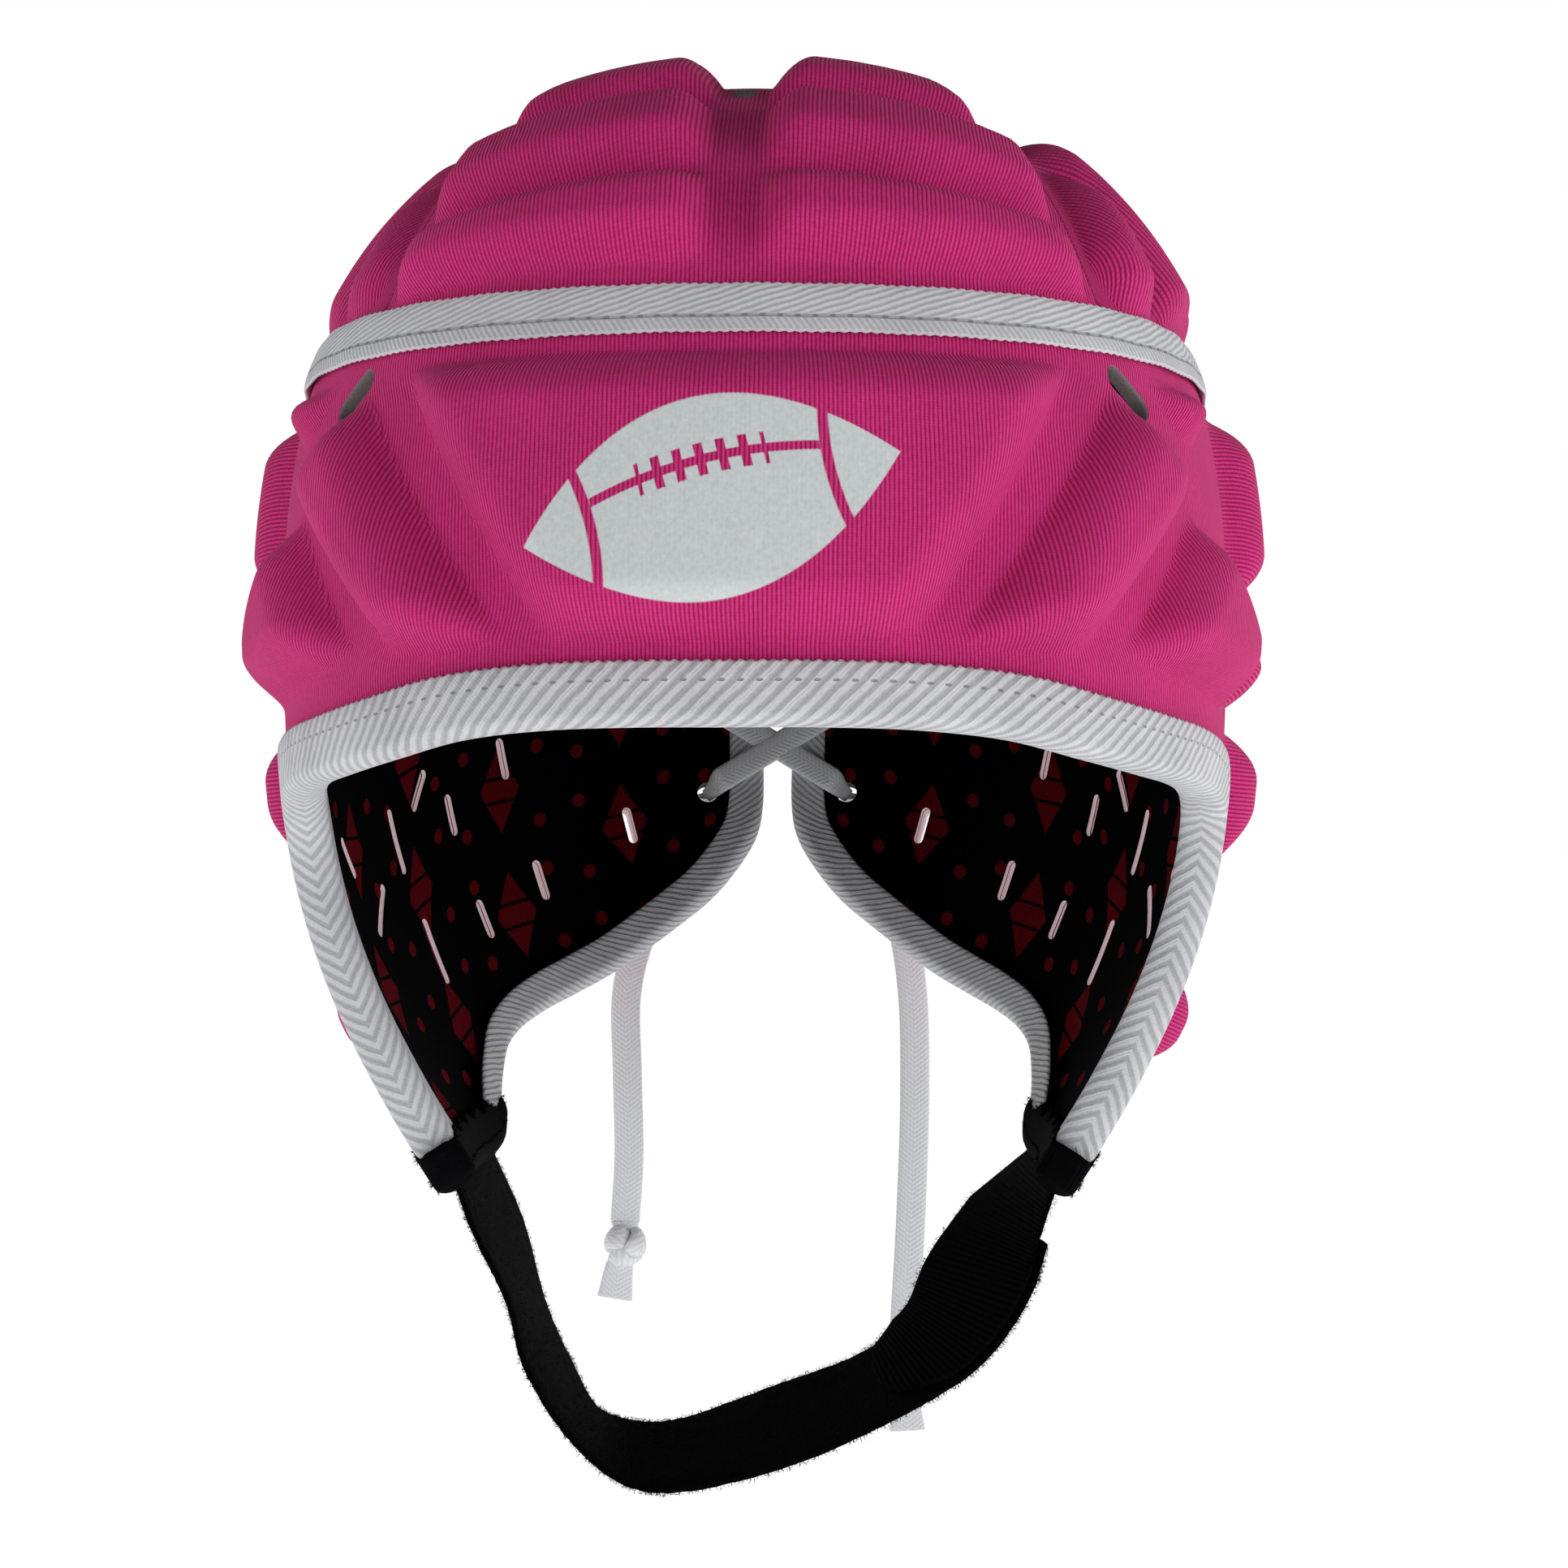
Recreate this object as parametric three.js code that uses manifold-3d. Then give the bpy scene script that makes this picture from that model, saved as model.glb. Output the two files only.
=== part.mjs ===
// Rugby scrum cap: foam pads under rib knit, a dark lining, white binding tape,
// a chin strap with its hook tab, and a laced slit at the back.
// Millimetres, +Z up, -Y forward. The origin is the inner top of the crown, where the head touches it.
import * as THREE from 'three';
import { mergeVertices } from 'three/addons/utils/BufferGeometryUtils.js';
import Module from 'manifold-3d';

const wasm = await Module();
wasm.setup();

// Driving dimensions: the hollow for the head
const HEAD_WIDTH = 177;
const HEAD_FRONT = 107.5;
const HEAD_BACK = 108.5;
const CAP_DEPTH = 211;
const SQUARENESS = 0.035;

// Driving dimensions: the layers, from the head outwards
const LINING = 1;
const PANEL = 3;
const CLEARANCE = 0.3;
const INNER_LEG_GAP = 1.35;
const TAPE_SEAT = 0.55;
const LACE_SEAT = 1;
const TAPE = 1.2;
const BAND_PAD_RISE = 8;
const CROWN_PAD_RISE = 5.8;
const CROWN_SIDE_RISE = { left: 3.6, right: 6.6 };
const PAD_SLOPE = 5;
const PAD_ROOT = 0.8;
const PAD_LEAST_SLOPES = 2.5;
const PAD_TRIM = 8;
const CUT_REACH = 4;

// Driving dimensions: edges, openings and tapes
const CROWN_TAPE_WIDTH = 8;
const FACE_HEM_WIDTH = 9;
const NECK_HEM_WIDTH = 7.5;
const HEM_INNER_SHORTER = 1;
const HEM_END_GAP = 1.5;
const MITRE_LIMIT = 0.6;
const BACK_SLIT = 9.6;
const VENT_WIDTH = 4.5;
const SLIT_WIDTH = 2.2;
const EYELET = 5;
const EYELET_FROM_EDGE = 10.7;

// Driving dimensions: strap, tab and laces
const STRAP_WIDTH = 30;
const STRAP_THICKNESS = 1.8;
const STRAP_DROP = 59;
const STRAP_FOLD = 4;
const TAB_LENGTH = 46;
const LACE_WIDTH = 7;
const LACE_THICKNESS = 1.5;
const LACING_PINCH = 1;
const LACING_LIFT = 0.12;
const LACE_DROP = { left: 100, right: 131 };
const KNOT_WIDTH = 11;

// Offsets of the layers from the inner surface
const PANEL_INSIDE = LINING + CLEARANCE;
const PANEL_OUTSIDE = PANEL_INSIDE + PANEL;
const TAPE_INSIDE = PANEL_OUTSIDE + TAPE_SEAT;
const TAPE_OUTSIDE = TAPE_INSIDE + TAPE;

// Middle of a lace where it crosses the slit inside and outside
const LACE_INNER = -INNER_LEG_GAP - TAPE - LACE_SEAT - LACE_THICKNESS / 2;
const LACE_OUTER = TAPE_OUTSIDE + LACE_SEAT + LACE_THICKNESS / 2;

// Sections of the hollow, from the apex down: shares of depth, half width, front and back length
const SECTIONS = [
  { drop: 0, side: 0, front: 0, back: 0 },
  { drop: 0.0095, side: 0.237, front: 0.251, back: 0.258 },
  { drop: 0.038, side: 0.452, front: 0.484, back: 0.498 },
  { drop: 0.083, side: 0.633, front: 0.679, back: 0.7 },
  { drop: 0.14, side: 0.768, front: 0.823, back: 0.839 },
  { drop: 0.206, side: 0.87, front: 0.907, back: 0.931 },
  { drop: 0.28, side: 0.949, front: 0.949, back: 0.982 },
  { drop: 0.384, side: 0.994, front: 0.981, back: 1 },
  { drop: 0.502, side: 1, front: 1, back: 0.977 },
  { drop: 0.621, side: 0.989, front: 1, back: 0.922 },
  { drop: 0.716, side: 0.955, front: 0.977, back: 0.848 },
  { drop: 0.81, side: 0.881, front: 0.94, back: 0.774 },
  { drop: 0.905, side: 0.768, front: 0.893, back: 0.7 },
  { drop: 1, side: 0.627, front: 0.837, back: 0.627 },
];

// Drop of the seam between crown and band, its gap under the tape, and the front panel's side seams
const SEAM_DROP = 0.2555;
const SEAM_GAP = 0.9;
const FRONT_SEAM_ANGLE = 76;

// The face opening's edge on one half: angle from the front in degrees, drop as a share of the depth
const FACE_EDGE = [
  { angle: 0, drop: 0.569 },
  { angle: 17, drop: 0.569 },
  { angle: 30, drop: 0.578 },
  { angle: 45, drop: 0.601 },
  { angle: 60, drop: 0.616 },
  { angle: 68, drop: 0.628 },
  { angle: 73, drop: 0.645 },
  { angle: 75.4, drop: 0.668 },
  { angle: 76, drop: 0.692 },
];

// The lower edge of one side, from the flap's front corner round to the slit at the back
const NECK_EDGE = [
  { angle: 76, drop: 0.976 },
  { angle: 100, drop: 0.977 },
  { angle: 108, drop: 0.971 },
  { angle: 113, drop: 0.955 },
  { angle: 118, drop: 0.929 },
  { angle: 127, drop: 0.882 },
  { angle: 138, drop: 0.853 },
  { angle: 150, drop: 0.825 },
  { angle: 161, drop: 0.782 },
  { angle: 170, drop: 0.735 },
  { angle: 174.5, drop: 0.695 },
  { angle: 177, drop: 0.65 },
];

// Pads of the front panel on the right half; the first is mirrored onto itself. Corners: angle, drop
const FRONT_PADS = [
  [[-38, 0.287], [38, 0.287], [18.5, 0.512], [-18.5, 0.512]],
  [[44, 0.3], [55.5, 0.37], [37, 0.52], [23, 0.512]],
  [[57, 0.392], [74.5, 0.474], [70.5, 0.556], [43.5, 0.516]],
  [[51.5, 0.289], [71, 0.286], [59, 0.34], [57.5, 0.336]],
];

// Pads of one side panel: angle and drop of each corner
const SIDE_PADS = [
  [[79, 0.288], [101, 0.286], [104, 0.448], [79, 0.455]],
  [[80, 0.472], [105, 0.462], [106, 0.548], [84, 0.552]],
  [[83, 0.572], [96, 0.566], [94, 0.66], [84, 0.705]],
  [[89, 0.79], [104, 0.785], [106, 0.885], [90, 0.88]],
  [[104, 0.29], [125, 0.29], [125, 0.4], [106, 0.4]],
  [[107, 0.418], [127, 0.418], [124, 0.555], [110, 0.555]],
  [[129, 0.29], [149, 0.29], [148, 0.4], [129, 0.4]],
  [[131, 0.418], [149, 0.418], [148, 0.555], [129, 0.555]],
  [[153, 0.29], [167, 0.29], [167, 0.4], [152, 0.4]],
  [[153, 0.418], [167, 0.418], [166, 0.555], [152, 0.555]],
  [[143, 0.578], [166, 0.575], [164, 0.63], [146, 0.64]],
];

// Slits cut through one side, and the vent slot of the front panel: start and end as angle and drop
const SIDE_SLITS = [
  [[136, 0.576], [137, 0.611]],
  [[121, 0.611], [118.5, 0.645]],
  [[126, 0.637], [127, 0.671]],
  [[112, 0.652], [114, 0.709]],
  [[93.5, 0.678], [96.5, 0.709]],
  [[106.5, 0.727], [101, 0.768]],
  [[141.5, 0.709], [142.5, 0.742]],
  [[130, 0.749], [131, 0.78]],
  [[116.5, 0.765], [117.5, 0.822]],
  [[156.5, 0.652], [157.5, 0.682]],
];
const FRONT_VENT = [[45.3, 0.291], [49, 0.313]];

// Flat pattern of the crown, in sections across and along
const CENTRE_HALF_WIDTH = 2.05;
const CENTRE_FLARE = 1.86;
const CENTRE_FLARE_AT = 3.78;
const CENTRE_FLARE_POWER = 1.9;
const GROOVE_HALF_WIDTH = 0.23;
const ROW_BOW = 7.64;
const BOW_TURNS = 24;
const CROWN_VENT = [[0, 1.95], [0, 2.3]];
const CROWN_PAD_ROWS = [
  { near: 0.15, far: 1.33, margin: 0.5 },
  { near: 1.48, far: 2.63, margin: 0.6 },
  { near: 2.78, far: 3.93, margin: 0.3 },
  { near: 4.07, far: 5.15, margin: 0.25 },
];

// Pads of one crown side from front to back: their span at the seam and at the tape, -1 to 1
const CROWN_SIDE_PADS = [
  { seamFrom: -0.84, seamTo: -0.44, tapeFrom: -0.86, tapeTo: -0.68 },
  { seamFrom: -0.38, seamTo: -0.16, tapeFrom: -0.62, tapeTo: -0.26 },
  { seamFrom: -0.1, seamTo: 0.1, tapeFrom: -0.2, tapeTo: 0.2 },
  { seamFrom: 0.16, seamTo: 0.38, tapeFrom: 0.26, tapeTo: 0.62 },
  { seamFrom: 0.44, seamTo: 0.84, tapeFrom: 0.68, tapeTo: 0.86 },
];
const CROWN_SIDE_END = 0.93;
const SIDE_PAD_MARGIN = 0.18;
const SIDE_PAD_RIM = 5.36;

// Chin strap: both edges as shares of the flaps' half span, of the drop and of the strap's width
const STRAP_STATIONS = [
  { frontX: -0.93, frontDrop: 0.16, frontY: -0.83, backX: -0.86, backDrop: 0.24, backY: 0.55 },
  { frontX: -0.81, frontDrop: 0.4, frontY: -0.87, backX: -0.75, backDrop: 0.52, backY: 0.2 },
  { frontX: -0.75, frontDrop: 0.6, frontY: -0.93, backX: -0.65, backDrop: 0.71, backY: 0.08 },
  { frontX: -0.6, frontDrop: 0.83, frontY: -0.97, backX: -0.56, backDrop: 0.85, backY: 0.02 },
  { frontX: -0.43, frontDrop: 0.97, frontY: -1, backX: -0.44, backDrop: 0.89, backY: 0 },
  { frontX: -0.28, frontDrop: 1, frontY: -1, backX: -0.3, backDrop: 0.89, backY: 0 },
  { frontX: 0.09, frontDrop: 0.92, frontY: -1, backX: 0.07, backDrop: 0.76, backY: -0.01 },
  { frontX: 0.46, frontDrop: 0.76, frontY: -0.98, backX: 0.37, backDrop: 0.64, backY: -0.04 },
  { frontX: 0.75, frontDrop: 0.58, frontY: -0.94, backX: 0.53, backDrop: 0.5, backY: -0.12 },
  { frontX: 0.91, frontDrop: 0.36, frontY: -0.88, backX: 0.6, backDrop: 0.34, backY: -0.1 },
  { frontX: 0.965, frontDrop: 0.2, frontY: -0.82, backX: 0.76, backDrop: 0.16, backY: 0.3 },
];

// Angles at which the strap's webbing folds over the end of a flap
const FOLD_ANGLES = [77, 84, 92, 100, 108];

// A lace's knot as shares of its width, and how far its tail hangs to the side in millimetres
const KNOT = { deep: 0.8, high: 0.75, tail: 0.9, tailRise: 0.15 };
const KNOT_TAIL = { thicknesses: 1.6, widerBy: 1, left: -2.4, right: 1 };

// Laces: drops of the eyelet rows, and the free ends' ways from their starts, in millimetres
// across and back, and as shares of their own drop
const EYELET_ROWS = [0.346, 0.441, 0.536, 0.63];
const LACE_WAYS = {
  left: [
    { x: 0, y: 0, drop: 0 },
    { x: -2.4, y: 1.1, drop: 0.07 },
    { x: -8, y: 0.8, drop: 0.16 },
    { x: -14.6, y: -1.4, drop: 0.3 },
    { x: -18.4, y: -3.6, drop: 0.45 },
    { x: -18.2, y: -4.8, drop: 0.65 },
    { x: -17.8, y: -5, drop: 0.85 },
    { x: -18.7, y: -5, drop: 1 },
  ],
  right: [
    { x: 0, y: 0, drop: 0 },
    { x: 2, y: 1.1, drop: 0.05 },
    { x: 6.6, y: 0.8, drop: 0.12 },
    { x: 11.8, y: -1.4, drop: 0.22 },
    { x: 14.4, y: -3.6, drop: 0.34 },
    { x: 15, y: -4.8, drop: 0.52 },
    { x: 14, y: -5, drop: 0.76 },
    { x: 12.2, y: -5, drop: 1 },
  ],
};

// How finely the surfaces are divided
const BAND_ROWS = 3;
const FLAP_ROWS = 5;
const CROWN_COLUMNS = 4;
const CROWN_ROWS = 7;
const PAD_FACET = 34;
const FRONT_COLUMNS = [10, 20, 30, 40, 50, 60, 68, 73];
const SIDE_COLUMNS = [87, 98, 110, 123.5, 137, 150.5, 164, 171.5];
const FLANK_ROWS = 4;
const TAPE_COLUMNS = 40;
const VENT_TURNS = 2;
const EYELET_SIDES = 5;
const LACE_SIDES = 3;
const STRAP_ROWS = 16;
const LACE_STEPS = 7;

const radians = THREE.MathUtils.degToRad;
const mix = THREE.MathUtils.lerp;

// A catmull-rom value between four neighbours
function spline(p0, p1, p2, p3, f) {
  return 0.5 * (2 * p1 + (p2 - p0) * f + (2 * p0 - 5 * p1 + 4 * p2 - p3) * f ** 2
    + (3 * p1 - p0 - 3 * p2 + p3) * f ** 3);
}

// Section at ring t: the apex is ring 0, where the sizes change sign and the drop doesn't
function section(t) {
  const i = Math.min(Math.floor(t), SECTIONS.length - 2);
  const last = SECTIONS.length - 1;
  const value = (key, j) => {
    if (j < 0) return key === 'drop' ? SECTIONS[1][key] : -SECTIONS[1][key];
    if (j > last) return 2 * SECTIONS[last][key] - SECTIONS[last - 1][key];
    return SECTIONS[j][key];
  };
  const at = (key) => spline(value(key, i - 1), value(key, i), value(key, i + 1), value(key, i + 2), t - i);
  return {
    z: -CAP_DEPTH * at('drop'),
    side: HEAD_WIDTH / 2 * at('side'),
    front: HEAD_FRONT * at('front'),
    back: HEAD_BACK * at('back'),
  };
}

// Ring whose drop is the given share of the depth
function ringAt(drop) {
  let low = 0;
  let high = SECTIONS.length - 1;
  for (let i = 0; i < 40; i += 1) {
    const middle = (low + high) / 2;
    if (section(middle).z > -CAP_DEPTH * drop) low = middle;
    else high = middle;
  }
  return (low + high) / 2;
}

// Point of the hollow's surface: angle in radians from the front, positive towards +X
function bare(angle, t) {
  const s = section(t);
  const swell = 1 + SQUARENESS * Math.sin(2 * angle) ** 2 * Math.min(t / 3, 1);
  const along = Math.cos(angle) > 0 ? s.front : s.back;
  return new THREE.Vector3(s.side * Math.sin(angle) * swell, -along * Math.cos(angle) * swell, s.z);
}

// The same point moved outwards along the surface's normal
function onCap(angle, t, offset) {
  const e = 0.001;
  const ring = Math.max(t, 2 * e);
  const across = bare(angle + e, ring).sub(bare(angle - e, ring));
  const down = bare(angle, ring + e).sub(bare(angle, ring - e));
  const normal = down.cross(across).normalize();
  return bare(angle, ring).addScaledVector(normal, offset);
}

// Point of the band: angle in degrees, drop as a share of the depth
function onBand(angle, drop, offset) {
  return onCap(radians(angle), ringAt(drop), offset);
}

// Point of the crown's flat pattern: across and along (negative to the front), in sections
function onCrown(across, along, offset) {
  return onCap(Math.atan2(across, -along), Math.hypot(across, along), offset);
}

// Value of an edge table at an angle
function dropAt(table, angle) {
  const a = Math.abs(angle);
  const i = table.findIndex((row) => row.angle >= a);
  if (i <= 0) return i < 0 ? table[table.length - 1].drop : table[0].drop;
  const f = (a - table[i - 1].angle) / (table[i].angle - table[i - 1].angle);
  return mix(table[i - 1].drop, table[i].drop, f);
}

// Even breakpoints from a to b
function steps(a, b, count) {
  return Array.from({ length: count + 1 }, (_, i) => mix(a, b, i / count));
}

// Closed geometry from points and faces, turned so that its faces point out
function closed(points, faces) {
  let volume = 0;
  for (const [a, b, c] of faces) volume += points[a].dot(points[b].clone().cross(points[c]));
  const turned = volume < 0 ? faces.map(([a, b, c]) => [a, c, b]) : faces;
  const geometry = new THREE.BufferGeometry().setFromPoints(points);
  geometry.setIndex(turned.flat());
  return geometry;
}

// Closed sheet between an inner and an outer grid; place(u, v, side) has side 0 inside, 1 outside
function sheet(columns, rows, place) {
  const points = [];
  for (const side of [0, 1]) {
    for (const v of rows) for (const u of columns) points.push(place(u, v, side));
  }
  const wide = columns.length;
  const size = wide * rows.length;
  const faces = [];
  for (let j = 0; j + 1 < rows.length; j += 1) {
    for (let i = 0; i + 1 < wide; i += 1) {
      const a = j * wide + i;
      const b = a + size;
      faces.push([a, a + 1, a + wide + 1], [a, a + wide + 1, a + wide]);
      faces.push([b, b + wide + 1, b + 1], [b, b + wide, b + wide + 1]);
    }
  }
  const rim = [];
  for (let i = 0; i < wide; i += 1) rim.push(i);
  for (let j = 1; j < rows.length; j += 1) rim.push(j * wide + wide - 1);
  for (let i = wide - 2; i >= 0; i -= 1) rim.push((rows.length - 1) * wide + i);
  for (let j = rows.length - 2; j > 0; j -= 1) rim.push(j * wide);
  rim.forEach((a, k) => {
    const b = rim[(k + 1) % rim.length];
    faces.push([b, a, a + size], [b, a + size, b + size]);
  });
  return closed(points, faces);
}

// Closed tube through rings of points, with flat ends
function tube(rings) {
  const sides = rings[0].length;
  const faces = [];
  for (let j = 0; j + 1 < rings.length; j += 1) {
    for (let i = 0; i < sides; i += 1) {
      const a = j * sides + i;
      const b = j * sides + (i + 1) % sides;
      faces.push([a, b, b + sides], [a, b + sides, a + sides]);
    }
  }
  const contour = THREE.ShapeUtils.triangulateShape(flatten(rings[0]), []);
  const end = (rings.length - 1) * sides;
  for (const [a, b, c] of contour) faces.push([a, c, b], [a + end, b + end, c + end]);
  return closed(rings.flat(), faces);
}

// A ring of points seen square on, for cutting its end face into triangles
function flatten(ring) {
  const normal = new THREE.Vector3();
  ring.forEach((p, i) => normal.add(p.clone().cross(ring[(i + 1) % ring.length])));
  normal.normalize();
  const side = ring[1].clone().sub(ring[0]).projectOnPlane(normal).normalize();
  const up = normal.clone().cross(side);
  return ring.map((p) => new THREE.Vector2(p.dot(side), p.dot(up)));
}

// Solid for cutting and joining, and back to a geometry
function solid(geometry) {
  const bareGeometry = geometry.clone();
  bareGeometry.deleteAttribute('normal');
  bareGeometry.deleteAttribute('uv');
  const merged = mergeVertices(bareGeometry, 0.0001);
  return new wasm.Manifold(new wasm.Mesh({
    numProp: 3,
    vertProperties: new Float32Array(merged.attributes.position.array),
    triVerts: new Uint32Array(merged.index.array),
  }));
}

function geometryOf(body) {
  const mesh = body.getMesh();
  const geometry = new THREE.BufferGeometry();
  geometry.setAttribute('position', new THREE.BufferAttribute(mesh.vertProperties.slice(), 3));
  geometry.setIndex(new THREE.BufferAttribute(mesh.triVerts.slice(), 1));
  return geometry;
}

// Lining of a piece, or its panel with the pads joined on and trimmed to the panel's inner face.
// grid(inside, outside) gives the piece's layer between two offsets
function layered(grid, lining, pads, cuts) {
  let body = solid(lining ? grid(0, LINING) : grid(PANEL_INSIDE, PANEL_OUTSIDE));
  if (!lining) {
    for (const shape of pads) body = body.add(solid(shape));
    body = body.subtract(solid(grid(-PAD_TRIM, PANEL_INSIDE)));
  }
  for (const cut of cuts) body = body.subtract(solid(cut));
  return geometryOf(body);
}

// Pad on four corners of a pattern: sloping sides up to a top that follows the surface
function pad(place, corners, rise) {
  const at = (u, v, offset) => {
    const [p, q, r, s] = corners;
    const spot = [0, 1].map((k) => mix(mix(p[k], q[k], u), mix(s[k], r[k], u), v));
    return place(spot[0], spot[1], offset);
  };
  const length = (u0, v0, u1, v1) => at(u0, v0, 0).distanceTo(at(u1, v1, 0));
  const wide = Math.max(length(0, 0, 1, 0), length(0, 1, 1, 1));
  const high = Math.max(length(0, 0, 0, 1), length(1, 0, 1, 1), PAD_LEAST_SLOPES * PAD_SLOPE);
  const parts = (size) => Math.max(1, Math.round((size - 2 * PAD_SLOPE) / PAD_FACET));
  if (parts(wide) * parts(high) === 1) {
    const ring = (du, dv, offset) => [[du, dv], [1 - du, dv], [1 - du, 1 - dv], [du, 1 - dv]]
      .map(([u, v]) => at(u, v, offset));
    return tube([
      ring(0, 0, PANEL_OUTSIDE - 2 * PAD_ROOT),
      ring(0, 0, PANEL_OUTSIDE - PAD_ROOT),
      ring(PAD_SLOPE / wide, PAD_SLOPE / high, PANEL_OUTSIDE + rise),
    ]);
  }
  const breaks = (size) => {
    const slope = PAD_SLOPE / size;
    return [0, ...steps(slope, 1 - slope, parts(size)), 1];
  };
  return sheet(breaks(wide), breaks(high), (u, v, side) => {
    const foot = u === 0 || u === 1 || v === 0 || v === 1;
    if (side === 0) return at(u, v, PANEL_OUTSIDE - 2 * PAD_ROOT);
    return at(u, v, foot ? PANEL_OUTSIDE - PAD_ROOT : PANEL_OUTSIDE + rise);
  });
}

// Cutter of a slot with round ends, or a round hole where both ends are one spot
function cutter(place, [from, to], width, turns) {
  const corner = [0, 1].map((k) => (from[k] + to[k]) / 2);
  const e = 0.01;
  const unit = [0, 1].map((k) => {
    const shifted = corner.slice();
    shifted[k] += e;
    return place(...shifted, 0).distanceTo(place(...corner, 0)) / e;
  });
  const run = [(to[0] - from[0]) * unit[0], (to[1] - from[1]) * unit[1]];
  const heading = Math.atan2(run[1], run[0]);
  const count = 2 * turns + 2;
  const ring = (offset) => steps(0, count - 1, count - 1).map((k) => {
    const spot = k <= turns ? to : from;
    const turn = heading - Math.PI / 2 + Math.PI * (k <= turns ? k : k - 1) / turns;
    return place(spot[0] + width / 2 * Math.cos(turn) / unit[0],
      spot[1] + width / 2 * Math.sin(turn) / unit[1], offset);
  });
  return tube([ring(-CUT_REACH), ring(BAND_PAD_RISE + PANEL_OUTSIDE + CUT_REACH)]);
}

// Ring round a spot of the band, for the eyelets and the lace in them
function eyeletRing(angle, drop, radius, sides, offset) {
  const unitAngle = onBand(angle + 0.5, drop, 0).distanceTo(onBand(angle - 0.5, drop, 0));
  return steps(0, 360, sides).slice(1).map(radians).map((turn) => (
    onBand(angle + radius * Math.cos(turn) / unitAngle, drop + radius * Math.sin(turn) / CAP_DEPTH, offset)));
}

// Edge spots of a pattern, with the way in from the edge worked out at each
function edgeFrames(spots, inside) {
  return spots.map(([angle, drop], i) => {
    const previous = spots[Math.max(i - 1, 0)];
    const next = spots[Math.min(i + 1, spots.length - 1)];
    const unitAngle = onBand(angle + 0.5, drop, 0).distanceTo(onBand(angle - 0.5, drop, 0));
    const unitDrop = onBand(angle, drop + 0.005, 0).distanceTo(onBand(angle, drop - 0.005, 0)) / 0.01;
    const heading = (a, b) => (
      new THREE.Vector2((b[0] - a[0]) * unitAngle, (b[1] - a[1]) * unitDrop).normalize());
    const here = [angle, drop];
    const arriving = heading(i > 0 ? previous : here, i > 0 ? here : next);
    const leaving = heading(next === spots[i] ? previous : here, next === spots[i] ? here : next);
    const run = arriving.clone().add(leaving).normalize();
    const mitre = 1 / Math.max(run.dot(leaving), MITRE_LIMIT);
    return (depth, offset) => onBand(angle - depth * mitre * inside * run.y / unitAngle,
      drop + depth * mitre * inside * run.x / unitDrop, offset);
  });
}

// Tape folded over an edge: an outer leg, the fold and a shorter inner leg
function foldedTape(spots, inside, leg) {
  const inner = leg - HEM_INNER_SHORTER;
  const outline = [
    [leg, TAPE_INSIDE],
    [leg, TAPE_OUTSIDE],
    [-CLEARANCE - TAPE, TAPE_OUTSIDE],
    [-CLEARANCE - TAPE, -INNER_LEG_GAP - TAPE],
    [inner, -INNER_LEG_GAP - TAPE],
    [inner, -INNER_LEG_GAP],
    [-CLEARANCE, -INNER_LEG_GAP],
    [-CLEARANCE, TAPE_INSIDE],
  ];
  return tube(edgeFrames(spots, inside).map((at) => outline.map(([depth, offset]) => at(depth, offset))));
}

// Cross lines of a flat ribbon between two edge curves, at the given shares of its run
function ribbonLines(fronts, backs, shares) {
  const front = new THREE.CatmullRomCurve3(fronts);
  const back = new THREE.CatmullRomCurve3(backs);
  return shares.map((f) => {
    const edges = [front.getPoint(f), back.getPoint(f)];
    const run = front.getTangent(f).add(back.getTangent(f));
    return { edges, normal: run.cross(edges[1].clone().sub(edges[0])).normalize() };
  });
}

// Closed ribbon on cross lines, moved along its normals by lift
function ribbon(lines, thickness, lift) {
  return sheet([0, 1], lines, (edge, line, side) => (
    line.edges[edge].clone().addScaledVector(line.normal, lift + (side - 0.5) * thickness)));
}

// Angles of the two edges of the slit at the back, and of the eyelets beside it
const backRadius = onBand(90, SEAM_DROP, 0).x;
const SLIT_ANGLE = 180 - THREE.MathUtils.radToDeg(Math.asin(BACK_SLIT / 2 / backRadius));
const EYELET_ANGLE = SLIT_ANGLE - THREE.MathUtils.radToDeg(Math.asin(EYELET_FROM_EDGE / backRadius));
const SEAM_SHARE = SEAM_GAP / 2 / CAP_DEPTH;
const CROWN_RIM = ringAt(SEAM_DROP - SEAM_SHARE);
const SEAM_ANGLE_GAP = THREE.MathUtils.radToDeg(CLEARANCE / 2 / backRadius);

// Angles of the front panel's columns on one half, and of a side panel's columns
const FRONT_ANGLES = [...FRONT_COLUMNS, FRONT_SEAM_ANGLE - SEAM_ANGLE_GAP];
const SIDE_START = FRONT_SEAM_ANGLE + SEAM_ANGLE_GAP;
const SIDE_ANGLES = [SIDE_START, ...SIDE_COLUMNS, SLIT_ANGLE];

// Layer of the front panel
function frontLayer(inside, outside) {
  const angles = [...FRONT_ANGLES.map((a) => -a).reverse(), 0, ...FRONT_ANGLES];
  return sheet(angles, steps(0, 1, BAND_ROWS), (angle, v, side) => {
    const drop = mix(SEAM_DROP + SEAM_SHARE, dropAt(FACE_EDGE, angle), v);
    return onBand(angle, drop, side ? outside : inside);
  });
}

// Layer of a side panel with its flap; sign is 1 on the +X side
function sideLayer(sign, inside, outside) {
  return sheet(SIDE_ANGLES, steps(0, 1, FLAP_ROWS), (angle, v, side) => {
    const drop = mix(SEAM_DROP + SEAM_SHARE, dropAt(NECK_EDGE, angle), v);
    return onBand(sign * angle, drop, side ? outside : inside);
  });
}

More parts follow.
